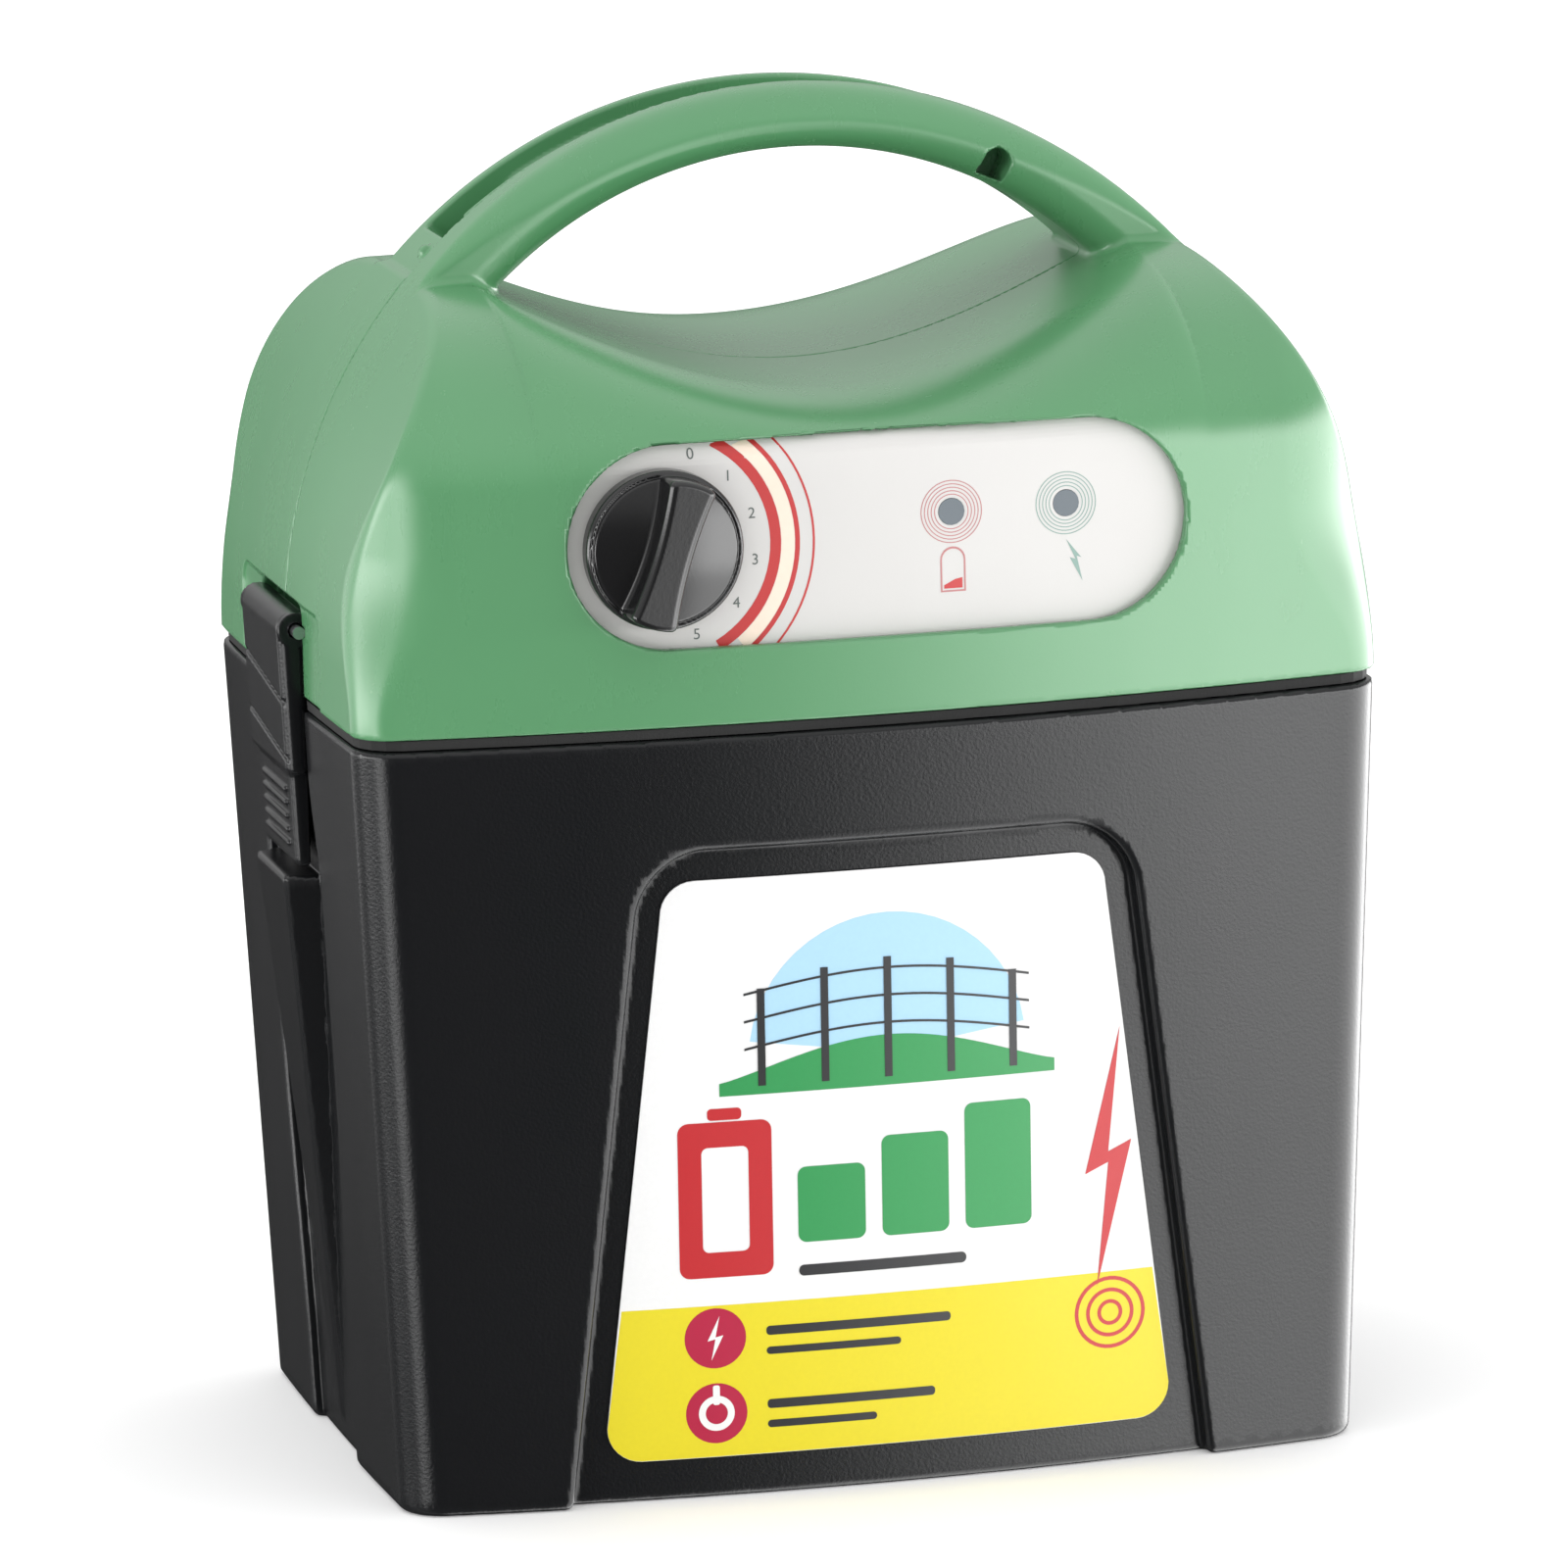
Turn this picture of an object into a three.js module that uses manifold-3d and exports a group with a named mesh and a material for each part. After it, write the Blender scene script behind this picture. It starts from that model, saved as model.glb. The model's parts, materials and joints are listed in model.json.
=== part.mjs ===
// Battery fence energizer: a black battery box with a green carrying head that lifts off it.
// Millimetres, +Z up, +X to the right, the control panel faces -Y.
// The origin is the middle of the box's underside.
import * as THREE from "three";
import { mergeVertices } from "three/addons/utils/BufferGeometryUtils.js";
import Module from "manifold-3d";

const wasm = await Module();
wasm.setup();

// ---------- driving dimensions ----------

const GAP = 0.3; // clearance between pieces that touch
const WALL = 3; // moulded wall thickness
const FAR = 400; // beyond every surface, for tools that cut right through

// Plan outline of the casing: a rounded rectangle with gently bowed sides.
const TOP_HALF_X = 121.4;
const TOP_HALF_Y = 81.3;
const BASE_HALF_X = 114.5;
const BASE_HALF_Y = 75.8;
const BOW_FRONT = 10.8; // how far the front and back bow out in their middle
const BOW_SIDE = 1.2;
const CORNER = 10;
const FOOT_ROUNDING = 2.5; // round edge around the underside

// Heights.
const BOX_TOP = 181.4; // ledge of the box wall
const RIM_TOP = 190; // tongue that stands up inside the head
const HEAD_BOTTOM = 184.2;
const SHOULDER_START = 240; // where the front and back begin to curve inwards
const SHOULDER_RISE = 5; // the curve begins this much higher in the middle
const SHOULDER_TOP = 278.6; // deck that the handle grows out of
const SADDLE_DIP = 24; // how far the deck dips in the middle
const SADDLE_HALF = 79; // the deck is level beyond this x
const SADDLE_FLAT = 52; // half the saddle's flat depth in the middle

// Arch of the head, seen from the front: upright sides and a half circle.
const ARCH_RADIUS = 122.7;
const ARCH_CENTRE = 197;
const SHOULDER_ROUNDING = 7; // how far the arch draws in towards its front and back edges

// Handle.
const HANDLE_HALF = 22; // half its depth in Y
const HANDLE_ROOT = 16.6; // how far its feet reach down into the head
const RIBS = [
  [-3.5, -1.5],
  [6, 8],
]; // the two ribs in its channel, from and to in Y
const RIB_HEIGHT = 3;
const GRIP_RADIUS = 102.7; // underside of the handle
const GRIP_CENTRE = 202.3;
const SEAM = -8; // parting plane between the front and the rear shell
const REAR_STEP = 1.5; // the rear half of the handle lies this much lower
const HANDLE_ANGLE = 48; // where the handle meets the deck, in degrees from the top
const CHANNEL_BACK = 17; // rear rim of the channel on top of the handle
const CHANNEL_ANGLE = 42; // the channel's ends, in degrees from the top
const CHANNEL_FLOOR = 111.5; // radius of the floor at the ends
const CHANNEL_DECK = 116.5; // radius of the raised floor in the middle
const DECK_ANGLE = 33;

// The D-shaped window in the handle's front bar.
const GRIP_WINDOW = { x: 47.7, z: 299, half: 3.2, below: 3.5, lean: 22 };

// Control panel and knob.
const PANEL_Z = 225.7;
const PANEL_HALF = 73;
const PANEL_RADIUS = 23.5;
const PANEL_LIP = 2.5; // how far the plate reaches behind the wall
const KNOB_X = -51.3;
const KNOB_RADIUS = 18.6;
const BOARD_Y = -64; // front face of the circuit board
const LED_X = [17, 44.5];
const LED_Z = 229.6;

// Label recess in the front of the box.
const RECESS_DEPTH = 5;
const RECESS_HALF_BOTTOM = 76.3;
const RECESS_HALF_TOP = 57.5;
const RECESS_TOP = 155;
const RECESS_CORNER = 16;
const LABEL_HALF_BOTTOM = 67.5;
const LABEL_HALF_TOP = 53;
const LABEL_BOTTOM = 10;
const LABEL_TOP = 147.3;
const LABEL_CORNER = 9;

// Side recess, wedge pad and latch.
const SIDE_RECESS = 2.5;
const SIDE_HALF_TOP = 24.5;
const SIDE_HALF_BOTTOM = 23;
const PAD_TOP = 141;
const LATCH_HALF = 22;
const LATCH_BOTTOM = 143.5;
const HINGE_X = 123;
const HINGE_Z = 200;
const BARREL = 4.2;
const PIN_RADIUS = 1.5;
const PIN_HALF = 25.5; // half the pin's length
const PLATE_PLAY = 0.45; // between a latch plate and the wall behind it
const PLATE_UPPER = 6; // thickness above the knee
const PLATE_LOWER = 4.8; // thickness below it
const PLATE_KNEE = 166;
const GRIP_RIBS = 5;
const GRIP_RIB_PITCH = 3.2;
const GRIP_RIB_HALF = 13;

// Block inside the head behind each latch, and the pocket in it.
const BLOCK_HALF = 27; // half its width in Y
const BLOCK_DEPTH = 12; // from the hinge inwards
const BLOCK_TOP = 211;
const BLOCK_PLAY = 0.6; // room round the block
const POCKET_PLAY = 0.5; // room beside the latch
const POCKET_TOP = 206;
const POCKET_KNEE = 193;
const POCKET_UPPER_DEPTH = 5; // from the hinge inwards
const POCKET_LOWER_DEPTH = 3.2;

// Screws.
const BOSS_RADIUS = 5.4;
const SCREW_HEAD = 3.2;
const SCREW_SHANK = 1.6;
const SCREW_HOLE = 2;
const SCREW_WELL = 3.8; // the deep round hole that a shell screw's head sits in
const SHELL_SCREW_HEAD_Y = 12;
const SHELL_SCREW_TIP_Y = -26;
const SHELL_SCREWS = [
  [-96, 208],
  [96, 208],
  [-82, 256],
  [82, 256],
]; // x, z
const TRAY_SCREW_TIP_Z = 207;
const TRAY_BOSS_TOP = 214;
const TRAY_SCREWS = [
  [-110, -46],
  [110, -46],
  [-110, 46],
  [110, 46],
]; // x, y

// Battery: a 9 V fence block.
const BATTERY = { x: 190, y: 125, z: 160, bottom: 3.6, chamfer: 3 };
const BATTERY_RIBS = [-70, 0, 70]; // ribs on the box floor that it stands on
const TERMINAL_X = 62;
const LEAD_RADIUS = 1.9;
// The right-hand lead's route from the tray to the side of its cap.
const LEAD_ROUTE = [
  [20, 0, 195.6],
  [20, 0, 188],
  [22, 6, 180],
  [28, 18, 174],
  [40, 26, 171.5],
  [54, 25, 171],
  [68, 20.5, 171.5],
  [76.5, 17, 172],
  [79.5, 10, 173],
  [76.5, 3, 173.8],
  [69, 0, 174],
];

// Electronics.
const TRAY_Z = 191.6;
const TRAY_THICK = 2.4;
const BOARD_THICK = 1.6;
const PLATE_THICK = 2; // control panel plate
const STUD_X = 38;
const STUD_Z = 214;
const STUD_RADIUS = 3;
const STUD_HOLE = 3.4;
const KNOB_LOBES = 8; // round the rim of a terminal knob

// ---------- materials ----------

const finish = (color, roughness, metalness = 0) =>
  new THREE.MeshStandardMaterial({ color, roughness, metalness });

const green = finish(0x5fae72, 0.42);
const black = finish(0x2a2b2c, 0.45);
const gloss = finish(0x141516, 0.18);
const white = finish(0xe8e7e4, 0.35);
const rubber = finish(0x1b1b1b, 0.85);
const paper = finish(0xf4f0e0, 0.5);
const steel = finish(0xb9bcc0, 0.3, 1);
const brass = finish(0xc9a250, 0.3, 1);
const copper = finish(0xa8623a, 0.4, 0.8);
const board = finish(0x1f6b3f, 0.5);
const lens = finish(0x69727a, 0.2);
const redLed = finish(0xc23028, 0.2);
const greenLed = finish(0x3aa860, 0.2);
const redPlastic = finish(0xb3282d, 0.4);
const batteryCase = finish(0x3a4046, 0.6);

// ---------- solids ----------

// A closed geometry as a manifold-3d solid.
function solid(geometry) {
  const plain = geometry.clone();
  plain.deleteAttribute("normal");
  plain.deleteAttribute("uv");
  const merged = mergeVertices(plain, 1e-4);
  return new wasm.Manifold(
    new wasm.Mesh({
      numProp: 3,
      vertProperties: merged.attributes.position.array,
      triVerts: new Uint32Array(merged.index.array),
    }),
  );
}

const group = new THREE.Group();

// Adds a solid to the exported group as one named mesh.
function addPart(name, body, material) {
  const { numProp, vertProperties, triVerts } = body.getMesh();
  const positions = new Float32Array((vertProperties.length / numProp) * 3);
  for (let i = 0; i < positions.length / 3; i++)
    positions.set(vertProperties.subarray(i * numProp, i * numProp + 3), i * 3);
  const geometry = new THREE.BufferGeometry();
  geometry.setAttribute("position", new THREE.BufferAttribute(positions, 3));
  geometry.setIndex(new THREE.BufferAttribute(triVerts, 1));
  geometry.computeVertexNormals();
  const mesh = new THREE.Mesh(geometry, material);
  mesh.name = name;
  group.add(mesh);
}

const X = new THREE.Vector3(1, 0, 0);
const Y = new THREE.Vector3(0, 1, 0);
const Z = new THREE.Vector3(0, 0, 1);

function extruded(shape, depth, curveSegments) {
  return new THREE.ExtrudeGeometry(shape, {
    depth,
    bevelEnabled: false,
    curveSegments,
  });
}

// A shape drawn in (x, z), as a prism from y0 to y1.
function prismY(shape, y0, y1, curveSegments = 8) {
  const geometry = extruded(shape, y1 - y0, curveSegments);
  geometry.applyMatrix4(new THREE.Matrix4().makeBasis(X, Z, Y.clone().negate()));
  return solid(geometry.translate(0, y1, 0));
}

// A shape drawn in (y, z), as a prism from x0 to x1.
function prismX(shape, x0, x1, curveSegments = 8) {
  const geometry = extruded(shape, x1 - x0, curveSegments);
  geometry.applyMatrix4(new THREE.Matrix4().makeBasis(Y, Z, X));
  return solid(geometry.translate(x0, 0, 0));
}

function box(x0, x1, y0, y1, z0, z1) {
  const geometry = new THREE.BoxGeometry(x1 - x0, y1 - y0, z1 - z0);
  return solid(geometry.translate((x0 + x1) / 2, (y0 + y1) / 2, (z0 + z1) / 2));
}

// Cylinders between two heights, along Z, or along Y between two depths.
function rodZ(x, y, radius, z0, z1, sides = 16) {
  const geometry = new THREE.CylinderGeometry(radius, radius, z1 - z0, sides);
  geometry.rotateX(Math.PI / 2);
  return solid(geometry.translate(x, y, (z0 + z1) / 2));
}

function rodY(x, z, radius, y0, y1, sides = 16) {
  const geometry = new THREE.CylinderGeometry(radius, radius, y1 - y0, sides);
  return solid(geometry.translate(x, (y0 + y1) / 2, z));
}

// A closed skin over rings of equal length; the first and last ring are capped.
function loft(rings) {
  const count = rings[0].length;
  const positions = rings.flat().flatMap((p) => [p.x, p.y, p.z]);
  const index = [];
  for (let r = 0; r + 1 < rings.length; r++)
    for (let i = 0; i < count; i++) {
      const a = r * count + i;
      const b = r * count + ((i + 1) % count);
      index.push(a, b, b + count, a, b + count, a + count);
    }
  const last = (rings.length - 1) * count;
  for (let i = 1; i + 1 < count; i++) {
    index.push(0, i + 1, i);
    index.push(last, last + i, last + i + 1);
  }
  const geometry = new THREE.BufferGeometry();
  geometry.setAttribute("position", new THREE.Float32BufferAttribute(positions, 3));
  geometry.setIndex(index);
  return solid(geometry);
}

// ---------- casing outlines ----------

// One plan section: a rounded rectangle whose four sides bow out.
function section(halfX, halfY, corner, z, bowSide = BOW_SIDE) {
  const points = [];
  const corners = [
    [1, -1, -90],
    [1, 1, 0],
    [-1, 1, 90],
    [-1, -1, 180],
  ];
  const steps = 4;
  const sideStops = [-0.75, -0.5, -0.25, 0, 0.25, 0.5, 0.75];
  corners.forEach(([sx, sy, start], side) => {
    for (let i = 0; i <= steps; i++) {
      const angle = THREE.MathUtils.degToRad(start + (90 * i) / steps);
      points.push([
        sx * (halfX - corner) + corner * Math.cos(angle),
        sy * (halfY - corner) + corner * Math.sin(angle),
      ]);
    }
    for (const t of sideStops) {
      if (side === 0) points.push([halfX, t * (halfY - corner)]);
      if (side === 1) points.push([-t * (halfX - corner), halfY]);
      if (side === 2) points.push([-halfX, -t * (halfY - corner)]);
      if (side === 3) points.push([t * (halfX - corner), -halfY]);
    }
  });
  return points.map(([x, y]) => {
    const bowX = bowSide * (1 - (y / halfY) ** 2) * Math.sign(x);
    const bowY = BOW_FRONT * (1 - (x / halfX) ** 2) * Math.sign(y);
    return new THREE.Vector3(x + bowX, y + bowY, z);
  });
}

// The casing's plan section at height z, moved inwards by inset.
function casingSection(z, inset) {
  const t = z / BOX_TOP;
  return section(
    THREE.MathUtils.lerp(BASE_HALF_X, TOP_HALF_X, t) - inset,
    THREE.MathUtils.lerp(BASE_HALF_Y, TOP_HALF_Y, t) - inset,
    Math.max(CORNER - inset, 3),
    z,
  );
}

// The box's outer body between two heights, moved inwards by inset.
const casing = (inset, z0, z1) =>
  loft([casingSection(z0, inset), casingSection(z1, inset)]);

// The front surface of the head below its shoulder, as half a depth in Y.
function frontDepth(x) {
  const inner = TOP_HALF_X - CORNER;
  const reach = Math.min(Math.abs(x), ARCH_RADIUS);
  const bow = BOW_FRONT * (1 - Math.min(reach / TOP_HALF_X, 1) ** 2);
  if (reach <= inner) return TOP_HALF_Y + bow;
  const over = Math.min((reach - inner) / (ARCH_RADIUS - inner), 1);
  return TOP_HALF_Y + bow - CORNER * (1 - Math.sqrt(1 - over ** 2));
}

// The deck at x: level at the sides, dipping to a flatter and deeper saddle in the middle.
function deckAt(x) {
  const t = Math.min(Math.abs(x) / SADDLE_HALF, 1);
  const dip = Math.cos((Math.PI / 2) * t);
  return {
    top: SHOULDER_TOP - SADDLE_DIP * dip,
    start: SHOULDER_START + SHOULDER_RISE * dip,
    half: HANDLE_HALF + (SADDLE_FLAT - HANDLE_HALF) * Math.sqrt(1 - t ** 4),
  };
}

// The head below the handle: Y-Z profiles with round shoulders, lofted along X.
function headBody(inset) {
  const edge = TOP_HALF_X - CORNER;
  const stops = [0, 12, 24, 36, 48, 60, SADDLE_HALF, 92, edge, edge + 4, edge + 8, ARCH_RADIUS];
  const xs = [...stops.slice(1).reverse().map((x) => -x), ...stops];
  const steps = 7;
  const rings = xs.map((x) => {
    const depth = frontDepth(x) - inset;
    const deck = deckAt(x);
    const rise = deck.top - inset - deck.start;
    const quarter = [];
    for (let i = 0; i <= steps; i++) {
      const angle = (Math.PI / 2) * (i / steps);
      quarter.push([
        deck.half + (depth - deck.half) * Math.cos(angle),
        deck.start + rise * Math.sin(angle),
      ]);
    }
    const bottom = HEAD_BOTTOM - (inset > 0 ? 1 : 0);
    const points = [
      [-depth, bottom],
      [depth, bottom],
      ...quarter,
      ...quarter.map(([y, z]) => [-y, z]).reverse(),
    ];
    return points.map(([y, z]) => new THREE.Vector3(x, y, z));
  });
  return loft(rings);
}

// The arch prism that trims the head and the handle, seen from the front.
function archPrism(inset) {
  const steps = 32;
  const depths = [-100, -85, -70, -50, 0, 50, 70, 85, 100];
  const rings = depths.map((y) => {
    const reach = Math.abs(y) / TOP_HALF_Y;
    const radius = ARCH_RADIUS - inset - BOW_SIDE * reach ** 2;
    const points = [];
    for (let i = 0; i <= steps; i++) {
      const angle = Math.PI * (i / steps);
      const round = radius - SHOULDER_ROUNDING * reach ** 4 * Math.sin(angle);
      points.push([round * Math.cos(angle), ARCH_CENTRE + round * Math.sin(angle)]);
    }
    points.push([-radius, HEAD_BOTTOM - 1 - inset], [radius, HEAD_BOTTOM - 1 - inset]);
    return points.map(([x, z]) => new THREE.Vector3(x, y, z)).reverse();
  });
  return loft(rings);
}

// A band of the arch between two radii, up to an angle from the top each way.
function archBand(inner, outer, angle, fromAngle = -angle) {
  const shape = new THREE.Shape();
  const start = THREE.MathUtils.degToRad(90 - angle);
  const end = THREE.MathUtils.degToRad(90 - fromAngle);
  shape.absarc(0, ARCH_CENTRE, outer, start, end, false);
  shape.absarc(0, ARCH_CENTRE, inner, end, start, true);
  shape.closePath();
  return shape;
}

function disc(x, z, radius) {
  const shape = new THREE.Shape();
  shape.absarc(x, z, radius, 0, 2 * Math.PI, false);
  return shape;
}

function stadium(halfX, radius, z) {
  const shape = new THREE.Shape();
  const reach = halfX - radius;
  shape.absarc(reach, z, radius, -Math.PI / 2, Math.PI / 2, false);
  shape.absarc(-reach, z, radius, Math.PI / 2, Math.PI * 1.5, false);
  shape.closePath();
  return shape;
}

function polygon(points) {
  return new THREE.Shape(points.map(([u, v]) => new THREE.Vector2(u, v)));
}

// A trapezoid that is wider at the bottom, with round corners.
function trapezoid(halfBottom, halfTop, bottom, top, lower, upper) {
  const lean = (halfBottom - halfTop) / (top - bottom);
  const half = (z) => halfBottom - lean * (z - bottom);
  const shape = new THREE.Shape();
  shape.moveTo(-halfBottom + lower, bottom);
  shape.lineTo(halfBottom - lower, bottom);
  shape.quadraticCurveTo(halfBottom, bottom, half(bottom + lower), bottom + lower);
  shape.lineTo(half(top - upper), top - upper);
  shape.quadraticCurveTo(half(top), top, half(top) - upper, top);
  shape.lineTo(upper - half(top), top);
  shape.quadraticCurveTo(-half(top), top, -half(top - upper), top - upper);
  shape.lineTo(-half(bottom + lower), bottom + lower);
  shape.quadraticCurveTo(-halfBottom, bottom, -halfBottom + lower, bottom);
  return shape;
}

// The side face's x at height z, on the centre plane.
const sideX = (z) =>
  THREE.MathUtils.lerp(BASE_HALF_X, TOP_HALF_X, z / BOX_TOP) + BOW_SIDE;

// ---------- battery box ----------

// The outline of the recess in each side, grown by margin.
function sideOutline(margin) {
  return polygon([
    [-SIDE_HALF_BOTTOM - margin, -5],
    [SIDE_HALF_BOTTOM + margin, -5],
    [SIDE_HALF_TOP + margin, BOX_TOP + 5],
    [-SIDE_HALF_TOP - margin, BOX_TOP + 5],
  ]);
}

// The wedge pad below a latch: flat outside, running down to a point.
function wedgePad(side) {
  const ring = (z, out, half, foot) => {
    const root = sideX(z) - SIDE_RECESS - 1;
    const points = [
      [root, -foot],
      [out, -half],
      [out, half],
      [root, foot],
    ].map(([x, y]) => new THREE.Vector3(side * x, y, z));
    return side > 0 ? points : points.reverse();
  };
  return loft([
    ring(6, sideX(6) - SIDE_RECESS + 0.6, 1, 2),
    ring(PAD_TOP, HINGE_X + 3.8, 16, 19.5),
  ]);
}

function buildBox() {
  const foot = FOOT_ROUNDING;
  const outer = casing(0, foot, BOX_TOP).add(
    loft([
      casingSection(0, foot),
      casingSection(foot * 0.3, foot * 0.3),
      casingSection(foot, 0),
    ]),
  );
  const cavity = casing(WALL, WALL, BOX_TOP + 20);
  const deepCasing = (inset) => casing(inset, -8, BOX_TOP + 8);
  const recess = (margin, depth) =>
    prismY(
      trapezoid(
        RECESS_HALF_BOTTOM + margin + 1,
        RECESS_HALF_TOP + margin,
        -6,
        RECESS_TOP + margin,
        1,
        RECESS_CORNER,
      ),
      -FAR,
      -20,
      5,
    ).subtract(deepCasing(depth));
  const sides = (margin, depth) =>
    prismX(sideOutline(margin), -FAR, FAR).subtract(deepCasing(depth));
  const thickened = recess(WALL, RECESS_DEPTH + WALL)
    .add(sides(WALL, SIDE_RECESS + WALL))
    .intersect(casing(1, 0.5, BOX_TOP));
  // The tongue stops short of the block behind each latch pocket.
  const beside = BLOCK_HALF + BLOCK_PLAY;
  const notch = box(-FAR, FAR, -beside, beside, HEAD_BOTTOM - GAP, FAR);
  const rim = casing(1, 172, BOX_TOP)
    .add(casing(3.6, 171, RIM_TOP))
    .subtract(casing(6, 160, RIM_TOP + 5))
    .subtract(notch);
  let body = outer
    .subtract(cavity)
    .add(thickened)
    .add(rim)
    .subtract(recess(0, RECESS_DEPTH))
    .subtract(sides(0, SIDE_RECESS));
  for (const x of BATTERY_RIBS)
    body = body.add(box(x - 1.5, x + 1.5, -70, 70, 1, BATTERY.bottom - GAP));
  for (const side of [-1, 1]) body = body.add(wedgePad(side));
  addPart("battery_box", body, black);
}

function buildLabel() {
  const sheet = casing(RECESS_DEPTH - 0.8, 2, 160).subtract(
    casing(RECESS_DEPTH - GAP, 0, 165),
  );
  const outline = trapezoid(
    LABEL_HALF_BOTTOM,
    LABEL_HALF_TOP,
    LABEL_BOTTOM,
    LABEL_TOP,
    LABEL_CORNER,
    LABEL_CORNER,
  );
  addPart("label", sheet.intersect(prismY(outline, -FAR, -20, 4)), paper);
}

function buildSeal() {
  const beside = sideX(BOX_TOP) - SIDE_RECESS;
  const seal = casing(1.1, BOX_TOP + GAP, HEAD_BOTTOM - GAP)
    .subtract(casing(3.4, BOX_TOP - 1, HEAD_BOTTOM + 1))
    .subtract(box(beside, FAR, -SIDE_HALF_TOP, SIDE_HALF_TOP, 0, FAR))
    .subtract(box(-FAR, -beside, -SIDE_HALF_TOP, SIDE_HALF_TOP, 0, FAR));
  addPart("rim_seal", seal, rubber);
}

function buildBattery() {
  const { x, y, z, bottom, chamfer } = BATTERY;
  const outline = polygon([
    [-x / 2 + chamfer, -y / 2],
    [x / 2 - chamfer, -y / 2],
    [x / 2, -y / 2 + chamfer],
    [x / 2, y / 2 - chamfer],
    [x / 2 - chamfer, y / 2],
    [-x / 2 + chamfer, y / 2],
    [-x / 2, y / 2 - chamfer],
    [-x / 2, -y / 2 + chamfer],
  ]);
  const block = solid(extruded(outline, z, 1).translate(0, 0, bottom));
  addPart("battery_block", block, batteryCase);
  const top = bottom + z + GAP;
  for (const [name, side] of [
    ["battery_terminal_plus", 1],
    ["battery_terminal_minus", -1],
  ]) {
    const flange = rodZ(side * TERMINAL_X, 0, 8, top, top + 1.5);
    const post = rodZ(side * TERMINAL_X, 0, 3, top + 1, top + 8);
    addPart(name, flange.add(post), brass);
  }
}

// ---------- head shells ----------

// The block behind each latch pocket, and the pocket itself.
// A box between two x distances from the middle plane, on one side or on the other.
function boxOnSide(side, near, far, y0, y1, z0, z1) {
  const [x0, x1] = side > 0 ? [near, far] : [-far, -near];
  return box(x0, x1, y0, y1, z0, z1);
}

function latchBlocks() {
  const block = (side) =>
    boxOnSide(
      side,
      HINGE_X - BLOCK_DEPTH,
      FAR,
      -BLOCK_HALF,
      BLOCK_HALF,
      HEAD_BOTTOM,
      BLOCK_TOP,
    );
  return block(-1).add(block(1));
}

function latchPockets() {
  const half = LATCH_HALF + POCKET_PLAY;
  const pocket = (side) => {
    const upper = HINGE_X - POCKET_UPPER_DEPTH;
    const lower = HINGE_X - POCKET_LOWER_DEPTH;
    const radius = PIN_RADIUS + GAP;
    const end = PIN_HALF + POCKET_PLAY;
    return boxOnSide(side, upper, FAR, -half, half, POCKET_KNEE - 1, POCKET_TOP)
      .add(boxOnSide(side, lower, FAR, -half, half, 0, POCKET_KNEE))
      .add(rodY(side * HINGE_X, HINGE_Z, radius, -end, end, 12));
  };
  return pocket(-1).add(pocket(1));
}

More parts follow.
